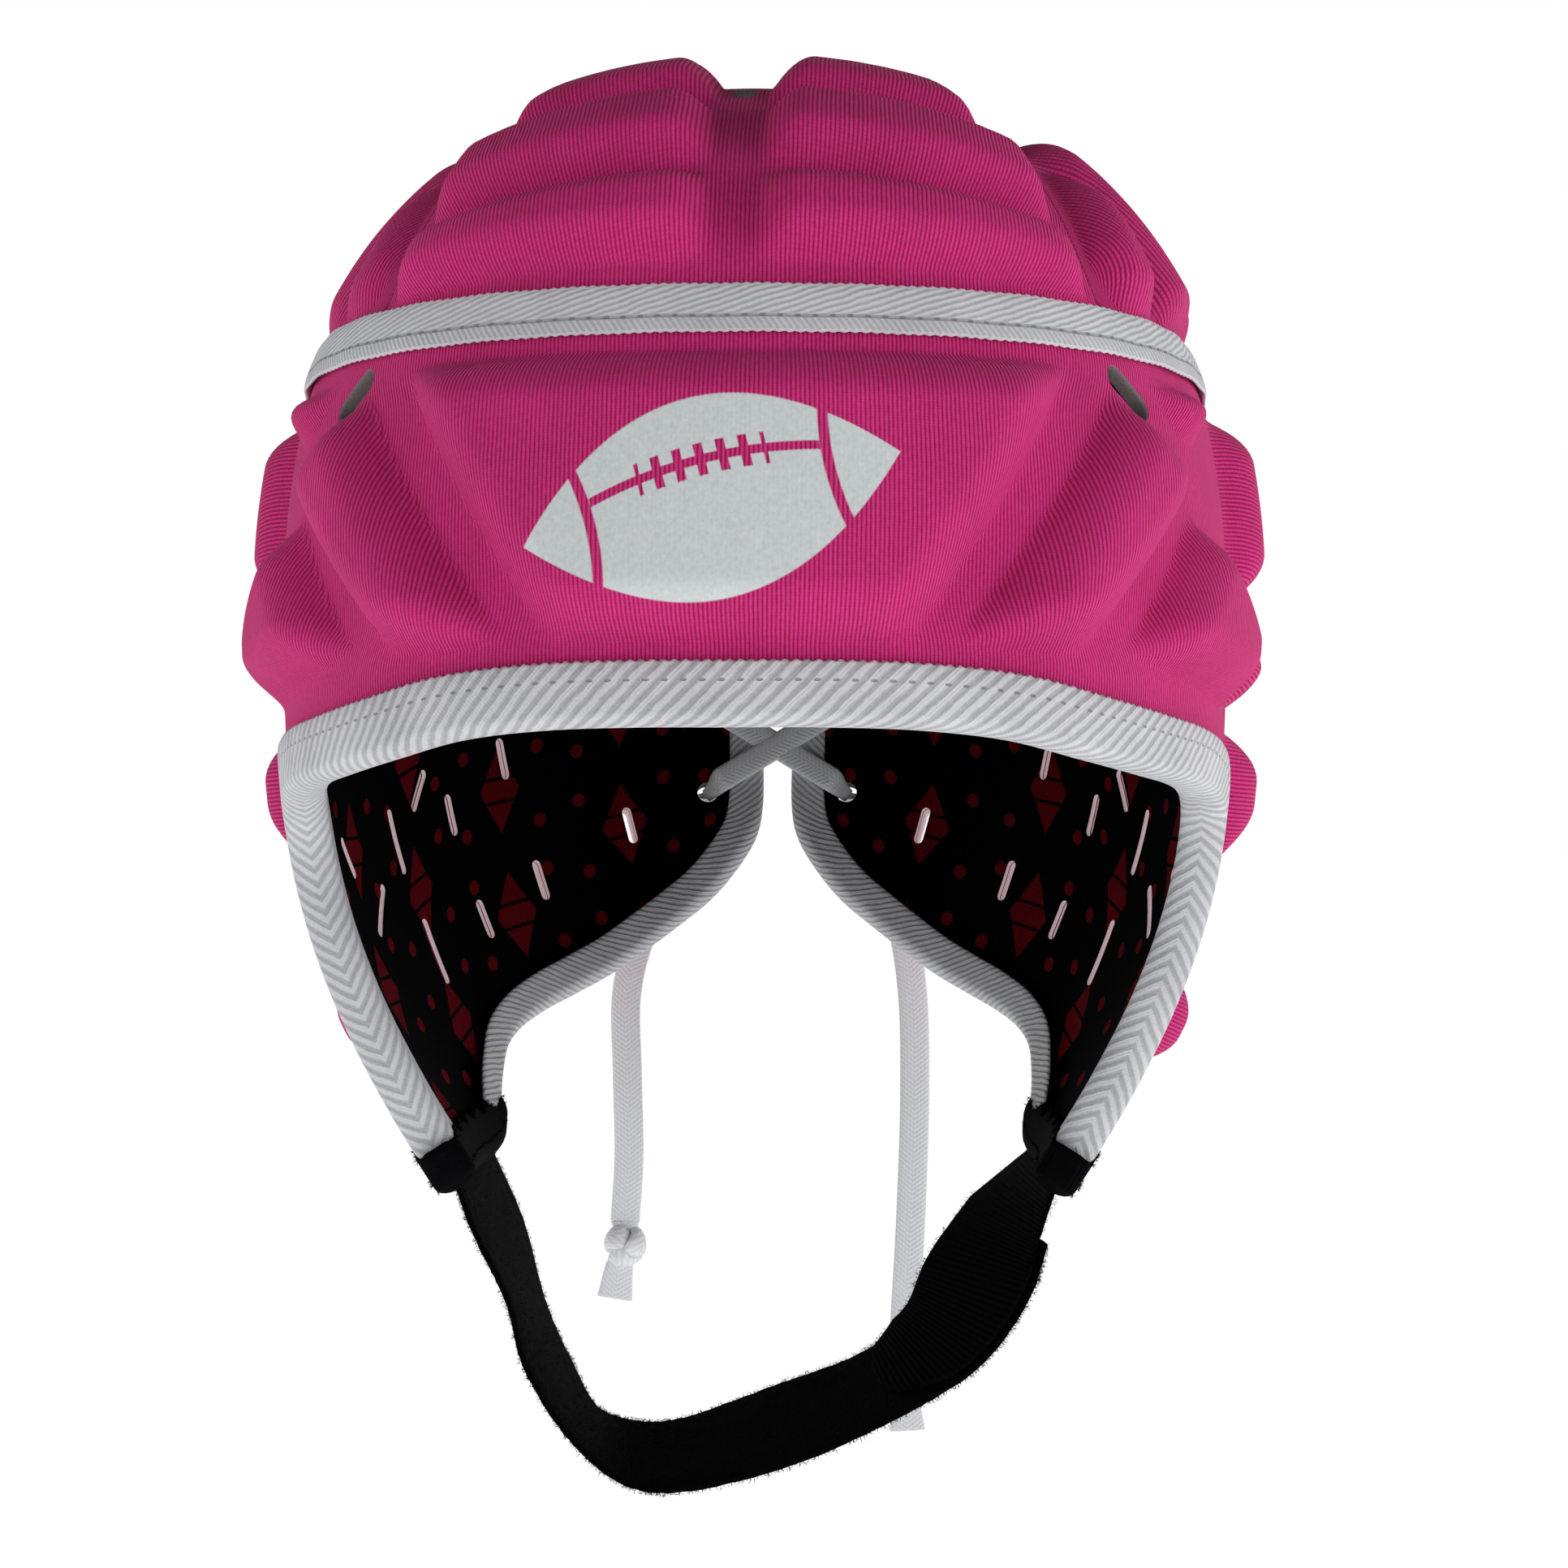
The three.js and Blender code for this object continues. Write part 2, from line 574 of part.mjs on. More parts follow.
// Half width of the crown's centre panel at a place along it
function centreWidth(along) {
  return CENTRE_HALF_WIDTH + CENTRE_FLARE * (Math.abs(along) / CENTRE_FLARE_AT) ** CENTRE_FLARE_POWER;
}

// How far along the crown reaches where the line i across its centre panel meets the rim
function centreReach(i) {
  let low = 0;
  let high = CROWN_RIM;
  for (let k = 0; k < 40; k += 1) {
    const middle = (low + high) / 2;
    if (Math.hypot(i * centreWidth(middle), middle) < CROWN_RIM) low = middle;
    else high = middle;
  }
  return low;
}

// Run of one section of the crown, for turning a clearance into sections
const SECTION_RUN = onCrown(2, 0, 0).distanceTo(onCrown(1, 0, 0));
const CROWN_CORNER = centreReach(1);
const CROWN_LINES = [...steps(-1, 1, CROWN_ROWS), -CROWN_SIDE_END, CROWN_SIDE_END].sort((a, b) => a - b);
const CORNER_ANGLE = 90 - THREE.MathUtils.radToDeg(Math.atan2(centreWidth(CROWN_CORNER), CROWN_CORNER));

// Crown's centre panel with its rows of pads, or its lining; both are open at the vents
function crownCentre(lining) {
  const edge = 1 - CLEARANCE / 2 / SECTION_RUN / CENTRE_HALF_WIDTH;
  const grid = (inside, outside) => sheet(steps(-edge, edge, CROWN_COLUMNS), CROWN_LINES, (i, j, side) => {
    const along = j * centreReach(i);
    return onCrown(i * centreWidth(along), along, side ? outside : inside);
  });
  const vents = [-1, 1].map((end) => CROWN_VENT.map(([across, along]) => [across, end * along]));
  const bowed = (across, along, offset) => onCrown(across, along * (1 - (across / ROW_BOW) ** 2), offset);
  // How far across a row's bowed line comes within a margin of the panel's side, found step by step
  const outer = (along, margin) => {
    let across = CENTRE_HALF_WIDTH;
    for (let turn = 0; turn < BOW_TURNS; turn += 1) {
      across = (across + centreWidth(along * (1 - (across / ROW_BOW) ** 2)) - margin) / 2;
    }
    return across;
  };
  const pads = [];
  for (const end of [-1, 1]) {
    for (const hand of [-1, 1]) {
      for (const { near, far, margin } of CROWN_PAD_ROWS) {
        pads.push(pad(bowed, [
          [hand * GROOVE_HALF_WIDTH, end * near],
          [hand * outer(near, margin), end * near],
          [hand * outer(far, margin), end * far],
          [hand * GROOVE_HALF_WIDTH, end * far],
        ], CROWN_PAD_RISE));
      }
    }
  }
  return layered(grid, lining, pads, vents.map((vent) => cutter(onCrown, vent, VENT_WIDTH, VENT_TURNS)));
}

// Spot of a crown side: s from its inner line to its outer ring, j from front to back
function onCrownSide(sign, s, j, offset, margin, ring) {
  const along = j * CROWN_CORNER;
  const angle = radians(90 + j * CORNER_ANGLE);
  const across = mix(centreWidth(along) + margin, ring * Math.sin(angle), s);
  return onCrown(sign * across, mix(along, -ring * Math.cos(angle), s), offset);
}

// One side of the crown with its pads, or its lining
function crownSide(sign, lining) {
  const seam = CLEARANCE / SECTION_RUN / 2;
  const lines = CROWN_LINES.filter((j) => Math.abs(j) <= CROWN_SIDE_END);
  const grid = (inside, outside) => sheet([0, 0.5, 1], lines, (s, j, side) => (
    onCrownSide(sign, s, j, side ? outside : inside, seam, CROWN_RIM)));
  const place = (s, j, offset) => onCrownSide(sign, s, j, offset, SIDE_PAD_MARGIN, SIDE_PAD_RIM);
  const rise = sign < 0 ? CROWN_SIDE_RISE.left : CROWN_SIDE_RISE.right;
  const pads = CROWN_SIDE_PADS.map((row) => pad(place, [
    [0, row.seamFrom], [1, row.tapeFrom], [1, row.tapeTo], [0, row.seamTo],
  ], rise));
  return layered(grid, lining, pads, []);
}

// Front panel or its lining, open at the two vent slots
function frontPanel(lining) {
  const vents = [-1, 1].map((sign) => FRONT_VENT.map(([angle, drop]) => [sign * angle, drop]));
  const pads = [];
  FRONT_PADS.forEach((corners, k) => {
    for (const sign of k === 0 ? [1] : [1, -1]) {
      pads.push(pad(onBand, corners.map(([angle, drop]) => [sign * angle, drop]), BAND_PAD_RISE));
    }
  });
  return layered(frontLayer, lining, pads, vents.map((vent) => cutter(onBand, vent, VENT_WIDTH, VENT_TURNS)));
}

// Side panel or its lining, open at the slits and the eyelets
function sidePanel(sign, lining) {
  const mirror = ([angle, drop]) => [sign * angle, drop];
  const cuts = SIDE_SLITS.map((slit) => cutter(onBand, slit.map(mirror), SLIT_WIDTH, 1));
  for (const drop of EYELET_ROWS) {
    const ring = (offset) => eyeletRing(sign * EYELET_ANGLE, drop, EYELET / 2, EYELET_SIDES, offset);
    cuts.push(tube([ring(-CUT_REACH), ring(PANEL_OUTSIDE + CUT_REACH)]));
  }
  const pads = SIDE_PADS.map((corners) => pad(onBand, corners.map(mirror), BAND_PAD_RISE));
  return layered((inside, outside) => sideLayer(sign, inside, outside), lining, pads, cuts);
}

// Tape round the seam between crown and band
function crownTape() {
  const half = CROWN_TAPE_WIDTH / 2 / CAP_DEPTH;
  const rings = steps(0, 360, TAPE_COLUMNS).slice(0, -1).map((angle) => [
    [-half, TAPE_INSIDE], [-half, TAPE_OUTSIDE], [half, TAPE_OUTSIDE], [half, TAPE_INSIDE],
  ].map(([shift, offset]) => onBand(angle, SEAM_DROP + shift, offset)));
  const faces = [];
  rings.forEach((ring, j) => {
    for (let i = 0; i < 4; i += 1) {
      const [a, b] = [4 * j + i, 4 * j + (i + 1) % 4];
      const [c, d] = [4 * ((j + 1) % rings.length) + i, 4 * ((j + 1) % rings.length) + (i + 1) % 4];
      faces.push([a, b, d], [a, d, c]);
    }
  });
  return closed(rings.flat(), faces);
}

// Drop where the hems end, above the strap's fold
const FLAP_DROP = NECK_EDGE[0].drop;
const HEM_END_DROP = FLAP_DROP - (STRAP_FOLD + HEM_END_GAP) / CAP_DEPTH;

// Hem of the face opening, from flap to flap
function faceHem() {
  const flank = steps(HEM_END_DROP, dropAt(FACE_EDGE, FRONT_SEAM_ANGLE), FLANK_ROWS)
    .map((drop) => [SIDE_START, drop]);
  const top = [...FRONT_ANGLES].reverse().slice(1).map((angle) => [angle, dropAt(FACE_EDGE, angle)]);
  const half = [...flank, ...top];
  const mirrored = half.map(([angle, drop]) => [-angle, drop]).reverse();
  return foldedTape([...half, [0, dropAt(FACE_EDGE, 0)], ...mirrored], 1, FACE_HEM_WIDTH);
}

// Hem of the neck on one side, from the flap round and up the slit
function neckHem(sign) {
  const around = SIDE_COLUMNS.filter((angle) => angle > FLAP_REAR_ANGLE)
    .map((angle) => [angle, dropAt(NECK_EDGE, angle)]);
  const low = dropAt(NECK_EDGE, SLIT_ANGLE);
  const up = steps(low, SEAM_DROP + (CROWN_TAPE_WIDTH / 2 + CLEARANCE) / CAP_DEPTH, FLANK_ROWS);
  const spots = [[FLAP_REAR_ANGLE, HEM_END_DROP], ...around, ...up.map((drop) => [SLIT_ANGLE, drop])];
  return foldedTape(spots.map(([angle, drop]) => [sign * angle, drop]), -sign, NECK_HEM_WIDTH);
}

// Angle of the flap's rear edge where the neck hem starts
const FLAP_REAR_ANGLE = (() => {
  const i = NECK_EDGE.findIndex((row) => row.drop < HEM_END_DROP);
  const [a, b] = [NECK_EDGE[i - 1], NECK_EDGE[i]];
  return mix(a.angle, b.angle, (HEM_END_DROP - a.drop) / (b.drop - a.drop));
})();

// Webbing folded over the end of a flap
function flapFold(sign) {
  const spots = FOLD_ANGLES.map((angle) => [sign * angle, dropAt(NECK_EDGE, angle)]);
  return foldedTape(spots, -sign, STRAP_FOLD);
}

// The two corners of a flap's fold, from which the webbing hangs
function foldCorners(sign) {
  const under = (CLEARANCE + TAPE / 2) / CAP_DEPTH;
  return [FOLD_ANGLES[0], FOLD_ANGLES[FOLD_ANGLES.length - 1]].map((angle) => (
    onBand(sign * angle, dropAt(NECK_EDGE, angle) + under, PANEL_OUTSIDE / 2)));
}

const STRAP_SHARES = steps(0, 1, STRAP_ROWS);

// Edge points of the strap's free run, from the left flap to just short of the right one
function strapEdges() {
  const [leftFront, leftBack] = foldCorners(-1);
  const half = -leftFront.x;
  const middle = (leftFront.y + leftBack.y) / 2;
  const fronts = [leftFront];
  const backs = [leftBack];
  for (const row of STRAP_STATIONS) {
    fronts.push(new THREE.Vector3(row.frontX * half, middle + row.frontY * STRAP_WIDTH,
      leftFront.z - row.frontDrop * STRAP_DROP));
    backs.push(new THREE.Vector3(row.backX * half, middle + row.backY * STRAP_WIDTH,
      leftFront.z - row.backDrop * STRAP_DROP));
  }
  return { fronts, backs };
}

// Chin strap: folded over the left flap, under the chin, up outside the hook tab
function chinStrap() {
  const { fronts, backs } = strapEdges();
  const run = ribbon(ribbonLines(fronts, backs, STRAP_SHARES), STRAP_THICKNESS, 0);
  return geometryOf(solid(run).add(solid(flapFold(-1))));
}

// Hook tab: folded over the right flap, lying along the inside of the strap's end
function hookTab() {
  const { fronts, backs } = strapEdges();
  const start = 1 - TAB_LENGTH / new THREE.CatmullRomCurve3(fronts).getLength();
  const least = start + 0.5 / STRAP_ROWS;
  const lines = ribbonLines(fronts, backs, [start, ...STRAP_SHARES.filter((f) => f > least)]);
  const lift = STRAP_THICKNESS + 1.5 * CLEARANCE;
  const fold = { edges: foldCorners(1), normal: new THREE.Vector3(-1, 0, 0) };
  fold.edges = fold.edges.map((p) => p.clone().addScaledVector(fold.normal, -lift));
  return geometryOf(solid(ribbon([...lines, fold], STRAP_THICKNESS, lift)).add(solid(flapFold(1))));
}

// Lace through the eyelets: one bar on top, then crossings in turn inside and outside
function lacing() {
  const half = LACE_THICKNESS / 2;
  const width = (LACE_WIDTH - LACING_PINCH) / 2;
  const across = (from, to, offset) => {
    const points = steps(0, 1, 2).map((f) => {
      const x = mix(from.x, to.x, f);
      const drop = mix(from.drop, to.drop, f);
      const angle = 180 - THREE.MathUtils.radToDeg(Math.asin(x / backRadius));
      return [onBand(angle, drop, offset - half), onBand(angle, drop, offset + half)];
    });
    const lean = new THREE.Vector3(points[0][0].z - points[2][0].z, 0, points[2][0].x - points[0][0].x);
    lean.normalize().multiplyScalar(width);
    return tube(points.map(([a, b]) => [a.clone().add(lean), a.clone().sub(lean), b.clone().sub(lean),
      b.clone().add(lean)]));
  };
  const eyeletX = backRadius * Math.sin(radians(180 - EYELET_ANGLE));
  const spot = (sign, row) => ({ x: sign * eyeletX, drop: EYELET_ROWS[row] });
  let body = solid(across(spot(-1, 0), spot(1, 0), LACE_OUTER));
  for (const [row, offset] of [[0, LACE_INNER], [1, LACE_OUTER], [2, LACE_INNER]]) {
    for (const sign of [-1, 1]) {
      const bar = across(spot(sign, row), spot(-sign, row + 1), offset + sign * LACING_LIFT);
      body = body.add(solid(bar));
    }
  }
  const inside = EYELET / 2 - 2 * CLEARANCE;
  for (const drop of EYELET_ROWS) {
    for (const sign of [-1, 1]) {
      const ring = (offset) => eyeletRing(sign * EYELET_ANGLE, drop, inside, LACE_SIDES, offset);
      body = body.add(solid(tube([ring(LACE_INNER), ring(LACE_OUTER)])));
    }
  }
  return geometryOf(body);
}

// Way of a free lace end, from just outside a bottom eyelet
function lacePath(hand) {
  const sign = hand === 'left' ? -1 : 1;
  const start = onBand(sign * EYELET_ANGLE, EYELET_ROWS[3], LACE_OUTER + LACE_THICKNESS / 2);
  return LACE_WAYS[hand].map((row) => (
    start.clone().add(new THREE.Vector3(row.x, row.y, -row.drop * LACE_DROP[hand]))));
}

// Free lace end: a flat oval swept down its way, its flat sides to the front and back
function laceEnd(hand) {
  const [thin, wide] = [LACE_THICKNESS / 2, LACE_WIDTH / 2];
  const outline = [[1, 0.8], [0, 1], [-1, 0.8], [-1, -0.8], [0, -1], [1, -0.8]];
  const shape = new THREE.Shape(outline.map(([x, y]) => new THREE.Vector2(thin * x, wide * y)));
  const path = new THREE.CatmullRomCurve3(lacePath(hand));
  return new THREE.ExtrudeGeometry(shape, { steps: LACE_STEPS, bevelEnabled: false, extrudePath: path });
}

// Knot under a lace end, with the short tail below it
function laceKnot(hand) {
  const points = lacePath(hand);
  const end = points[points.length - 1];
  const [wide, deep, high] = [1, KNOT.deep, KNOT.high].map((share) => KNOT_WIDTH * share);
  const ball = new THREE.SphereGeometry(1, 8, 5).scale(wide / 2, deep / 2, high / 2);
  ball.translate(end.x, end.y, end.z - CLEARANCE - high / 2);
  const long = KNOT_WIDTH * KNOT.tail;
  const broad = LACE_WIDTH + KNOT_TAIL.widerBy;
  const tail = new THREE.BoxGeometry(broad, LACE_THICKNESS * KNOT_TAIL.thicknesses, long);
  const top = end.z - CLEARANCE - high + KNOT_WIDTH * KNOT.tailRise;
  tail.translate(end.x + KNOT_TAIL[hand], end.y, top - long / 2);
  return geometryOf(solid(ball).add(solid(tail)));
}

// Finishes
const finish = (color, roughness) => new THREE.MeshStandardMaterial({ color, roughness, metalness: 0 });
const knit = finish(0xe0338a, 0.8);
const darkLining = finish(0x15131a, 0.9);
const tapeWhite = finish(0xe9eaec, 0.75);
const laceWhite = finish(0xf2f2f2, 0.7);
const blackWeb = finish(0x131317, 0.95);

// The assembly
const cap = new THREE.Group();
function piece(name, geometry, material) {
  const mesh = new THREE.Mesh(geometry, material);
  mesh.name = name;
  cap.add(mesh);
}

piece('crown_centre', crownCentre(false), knit);
piece('crown_side_left', crownSide(-1, false), knit);
piece('crown_side_right', crownSide(1, false), knit);
piece('front_panel', frontPanel(false), knit);
piece('side_panel_left', sidePanel(-1, false), knit);
piece('side_panel_right', sidePanel(1, false), knit);
piece('lining_crown_centre', crownCentre(true), darkLining);
piece('lining_crown_left', crownSide(-1, true), darkLining);
piece('lining_crown_right', crownSide(1, true), darkLining);
piece('lining_front', frontPanel(true), darkLining);
piece('lining_left', sidePanel(-1, true), darkLining);
piece('lining_right', sidePanel(1, true), darkLining);
piece('crown_tape', crownTape(), tapeWhite);
piece('face_hem', faceHem(), tapeWhite);
piece('neck_hem_left', neckHem(-1), tapeWhite);
piece('neck_hem_right', neckHem(1), tapeWhite);
piece('chin_strap', chinStrap(), blackWeb);
piece('hook_tab', hookTab(), blackWeb);
piece('lacing', lacing(), laceWhite);
for (const hand of ['left', 'right']) {
  piece(`lace_end_${hand}`, laceEnd(hand), laceWhite);
  piece(`lace_knot_${hand}`, laceKnot(hand), laceWhite);
}

export default cap;
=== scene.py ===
# Rugby scrum cap: moulded foam pads under pink rib knit, a dark printed lining, white twill binding,
# a black chin strap with its hook tab, and a laced slit at the back.
# Metres, +Z up, -Y forward. The origin is the inner top of the crown, where the head touches it.
import math

import bpy
import numpy as np
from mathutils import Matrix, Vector


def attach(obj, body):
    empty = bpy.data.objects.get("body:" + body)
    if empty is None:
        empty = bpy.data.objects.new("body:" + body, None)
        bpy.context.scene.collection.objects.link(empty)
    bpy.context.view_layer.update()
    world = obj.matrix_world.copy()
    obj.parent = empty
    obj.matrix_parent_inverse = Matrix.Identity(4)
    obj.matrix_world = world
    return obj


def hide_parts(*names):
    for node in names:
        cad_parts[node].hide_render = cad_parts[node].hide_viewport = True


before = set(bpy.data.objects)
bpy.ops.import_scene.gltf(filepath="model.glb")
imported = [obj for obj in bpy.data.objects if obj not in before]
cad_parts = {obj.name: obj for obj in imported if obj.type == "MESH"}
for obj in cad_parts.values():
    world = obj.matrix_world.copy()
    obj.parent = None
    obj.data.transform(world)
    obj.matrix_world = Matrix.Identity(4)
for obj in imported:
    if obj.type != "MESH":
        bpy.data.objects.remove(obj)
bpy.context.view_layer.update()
TAU = 2 * math.pi

# The hollow for the head
HEAD_WIDTH = 0.177
HEAD_FRONT = 0.1075
HEAD_BACK = 0.1085
CAP_DEPTH = 0.211
SQUARENESS = 0.035

# Offsets of the layers from the inner surface
LINING = 0.001
PANEL_INSIDE = 0.0013
PANEL_OUTSIDE = 0.0043
TAPE_INSIDE = 0.00485
TAPE_OUTSIDE = 0.00605
INNER_LEG_GAP = 0.00135
TAPE = 0.0012
CLEARANCE = 0.0003
BAND_PAD_RISE = 0.008
CROWN_PAD_RISE = 0.0064
CROWN_SIDE_RISE = {"left": 0.0036, "right": 0.0066}

# Edges, openings and tapes
CROWN_TAPE_WIDTH = 0.008
FACE_HEM_WIDTH = 0.009
NECK_HEM_WIDTH = 0.0075
BACK_SLIT = 0.0096
VENT_WIDTH = 0.0045
SLIT_WIDTH = 0.0022
EYELET = 0.005
EYELET_FROM_EDGE = 0.0107

# Strap, tab and laces
STRAP_WIDTH = 0.03
STRAP_THICKNESS = 0.0018
STRAP_DROP = 0.059
STRAP_FOLD = 0.004
TAB_LENGTH = 0.046
LACE_WIDTH = 0.007
LACE_THICKNESS = 0.0015
LACE_DROP = {"left": 0.1, "right": 0.131}
KNOT_WIDTH = 0.011

# Sections of the hollow from the apex down: shares of depth, half width, front and back length
SECTIONS = np.array([
    (0, 0, 0, 0),
    (0.0095, 0.237, 0.251, 0.258),
    (0.038, 0.452, 0.484, 0.498),
    (0.083, 0.633, 0.679, 0.7),
    (0.14, 0.768, 0.823, 0.839),
    (0.206, 0.87, 0.907, 0.931),
    (0.28, 0.949, 0.949, 0.982),
    (0.384, 0.994, 0.981, 1),
    (0.502, 1, 1, 0.977),
    (0.621, 0.989, 1, 0.922),
    (0.716, 0.955, 0.977, 0.848),
    (0.81, 0.881, 0.94, 0.774),
    (0.905, 0.768, 0.893, 0.7),
    (1, 0.627, 0.837, 0.627),
])
SEAM_DROP = 0.2555
FRONT_SEAM_ANGLE = 76

# Edges of one half: angle from the front in degrees, drop as a share of the depth
FACE_EDGE = np.array([
    (0, 0.569), (17, 0.569), (30, 0.578), (45, 0.601), (60, 0.616),
    (68, 0.628), (73, 0.645), (75.4, 0.668), (76, 0.692),
])
NECK_EDGE = np.array([
    (76, 0.976), (100, 0.977), (108, 0.971), (113, 0.955), (118, 0.929), (127, 0.882),
    (138, 0.853), (150, 0.825), (161, 0.782), (170, 0.735), (174.5, 0.695), (177, 0.65),
])

# Pads: angle and drop of each corner, on the right half of the front and on one side
FRONT_PADS = [
    [(-38, 0.287), (38, 0.287), (18.5, 0.512), (-18.5, 0.512)],
    [(44, 0.3), (55.5, 0.37), (37, 0.52), (23, 0.512)],
    [(57, 0.392), (74.5, 0.474), (70.5, 0.556), (43.5, 0.516)],
    [(51.5, 0.289), (71, 0.286), (59, 0.34), (57.5, 0.336)],
]
SIDE_PADS = [
    [(79, 0.288), (101, 0.286), (104, 0.448), (79, 0.455)],
    [(80, 0.472), (105, 0.462), (106, 0.548), (84, 0.552)],
    [(83, 0.572), (96, 0.566), (94, 0.66), (84, 0.705)],
    [(89, 0.79), (104, 0.785), (106, 0.885), (90, 0.88)],
    [(104, 0.29), (125, 0.29), (125, 0.4), (106, 0.4)],
    [(107, 0.418), (127, 0.418), (124, 0.555), (110, 0.555)],
    [(129, 0.29), (149, 0.29), (148, 0.4), (129, 0.4)],
    [(131, 0.418), (149, 0.418), (148, 0.555), (129, 0.555)],
    [(153, 0.29), (167, 0.29), (167, 0.4), (152, 0.4)],
    [(153, 0.418), (167, 0.418), (166, 0.555), (152, 0.555)],
    [(143, 0.578), (166, 0.575), (164, 0.63), (146, 0.64)],
]

# Slits through one side, and the front panel's vent: start and end as angle and drop
SIDE_SLITS = [
    [(136, 0.576), (137, 0.611)],
    [(121, 0.611), (118.5, 0.645)],
    [(126, 0.637), (127, 0.671)],
    [(112, 0.652), (114, 0.709)],
    [(93.5, 0.678), (96.5, 0.709)],
    [(106.5, 0.727), (101, 0.768)],
    [(141.5, 0.709), (142.5, 0.742)],
    [(130, 0.749), (131, 0.78)],
    [(116.5, 0.765), (117.5, 0.822)],
    [(156.5, 0.652), (157.5, 0.682)],
]
FRONT_VENT = [(45.3, 0.291), (49, 0.313)]

# Flat pattern of the crown, in sections across and along
CENTRE_HALF_WIDTH = 2.05
CENTRE_FLARE = 1.86
CENTRE_FLARE_AT = 3.78
CENTRE_FLARE_POWER = 1.9
GROOVE_HALF_WIDTH = 0.23
ROW_BOW = 7.64
CROWN_VENT = [(0, 1.95), (0, 2.3)]
# Rows of pads on the centre panel: near, far, and margin to the panel's side
CROWN_PAD_ROWS = [(0.15, 1.33, 0.5), (1.48, 2.63, 0.6), (2.78, 3.93, 0.3), (4.07, 5.15, 0.25)]
# Pads of a crown side: seam from and to, tape from and to
CROWN_SIDE_PADS = [
    (-0.84, -0.44, -0.86, -0.68),
    (-0.38, -0.16, -0.62, -0.26),
    (-0.1, 0.1, -0.2, 0.2),
    (0.16, 0.38, 0.26, 0.62),
    (0.44, 0.84, 0.68, 0.86),
]
CROWN_SIDE_END = 0.93
SIDE_PAD_MARGIN = 0.18
SIDE_PAD_RIM = 5.36

# Chin strap: front and back edge as shares of the half span, of the drop and of the strap's width
STRAP_STATIONS = np.array([
    (-0.93, 0.16, -0.83, -0.86, 0.24, 0.55),
    (-0.81, 0.4, -0.87, -0.75, 0.52, 0.2),
    (-0.75, 0.6, -0.93, -0.65, 0.71, 0.08),
    (-0.6, 0.83, -0.97, -0.56, 0.85, 0.02),
    (-0.43, 0.97, -1, -0.44, 0.89, 0),
    (-0.28, 1, -1, -0.3, 0.89, 0),
    (0.09, 0.92, -1, 0.07, 0.76, -0.01),
    (0.46, 0.76, -0.98, 0.37, 0.64, -0.04),
    (0.75, 0.58, -0.94, 0.53, 0.5, -0.12),
    (0.91, 0.36, -0.88, 0.6, 0.34, -0.1),
    (0.965, 0.2, -0.82, 0.76, 0.16, 0.3),
])
FOLD_ANGLES = (77, 108)

# Laces: drops of the eyelet rows, and the free ends' ways: across and back, and shares of their drop
EYELET_ROWS = [0.346, 0.441, 0.536, 0.63]
LACE_WAYS = {
    "left": [
        (0, 0, 0), (-0.0024, 0.0011, 0.07), (-0.008, 0.0008, 0.16), (-0.0146, -0.0014, 0.3),
        (-0.0184, -0.0036, 0.45), (-0.0182, -0.0048, 0.65), (-0.0178, -0.005, 0.85), (-0.0187, -0.005, 1),
    ],
    "right": [
        (0, 0, 0), (0.002, 0.0011, 0.05), (0.0066, 0.0008, 0.12), (0.0118, -0.0014, 0.22),
        (0.0144, -0.0036, 0.34), (0.015, -0.0048, 0.52), (0.014, -0.005, 0.76), (0.0122, -0.005, 1),
    ],
}


# Curves and surfaces of the head

def section(t):
    """Catmull-Rom values of the section table at rings t: height, half width, front and back length.
    Before ring 0 the sizes change sign and the drop doesn't. Past the last ring the table runs straight."""
    before = SECTIONS[1] * (1, -1, -1, -1)
    after = 2 * SECTIONS[-1] - SECTIONS[-2]
    table = np.vstack([before, SECTIONS, after, after])
    i = np.clip(np.floor(t).astype(int), 0, len(SECTIONS) - 2)
    f = (t - i)[..., None]
    p0, p1, p2, p3 = (table[i + k] for k in range(4))
    value = 0.5 * (2 * p1 + (p2 - p0) * f + (2 * p0 - 5 * p1 + 4 * p2 - p3) * f**2
                   + (3 * p1 - p0 - 3 * p2 + p3) * f**3)
    return (-CAP_DEPTH * value[..., 0], HEAD_WIDTH / 2 * value[..., 1], HEAD_FRONT * value[..., 2],
            HEAD_BACK * value[..., 3])


RING_TABLE = np.linspace(0, 13.6, 5000)
DROP_TABLE = -section(RING_TABLE)[0] / CAP_DEPTH


def ring_at(drop):
    """Ring whose drop is the given share of the depth, read back from the section curve."""
    return np.interp(drop, DROP_TABLE, RING_TABLE)


def bare(angle, t):
    """Point of the hollow: an ellipse at each ring, swollen at its diagonals by the square of a sine."""
    z, side, front, back = section(t)
    swell = 1 + SQUARENESS * np.sin(2 * angle)**2 * np.minimum(t / 3, 1)
    along = np.where(np.cos(angle) > 0, front, back)
    return np.stack(np.broadcast_arrays(side * np.sin(angle) * swell, -along * np.cos(angle) * swell, z), -1)


def unit(vectors):
    """Vectors divided by their lengths."""
    return vectors / np.maximum(np.linalg.norm(vectors, axis=-1, keepdims=True), 1e-12)


def on_cap(angle, t, offset):
    """Point of the hollow moved out by offset along the normal, which is the cross product of two steps."""
    step = 0.001
    ring = np.maximum(t, 2 * step)
    across = bare(angle + step, ring) - bare(angle - step, ring)
    down = bare(angle, ring + step) - bare(angle, ring - step)
    return bare(angle, ring) + unit(np.cross(down, across)) * np.asarray(offset)[..., None]


def on_band(degrees, drop, offset):
    """Point of the band at an angle in degrees from the front and a share of the depth."""
    return on_cap(np.radians(degrees), ring_at(drop), offset)


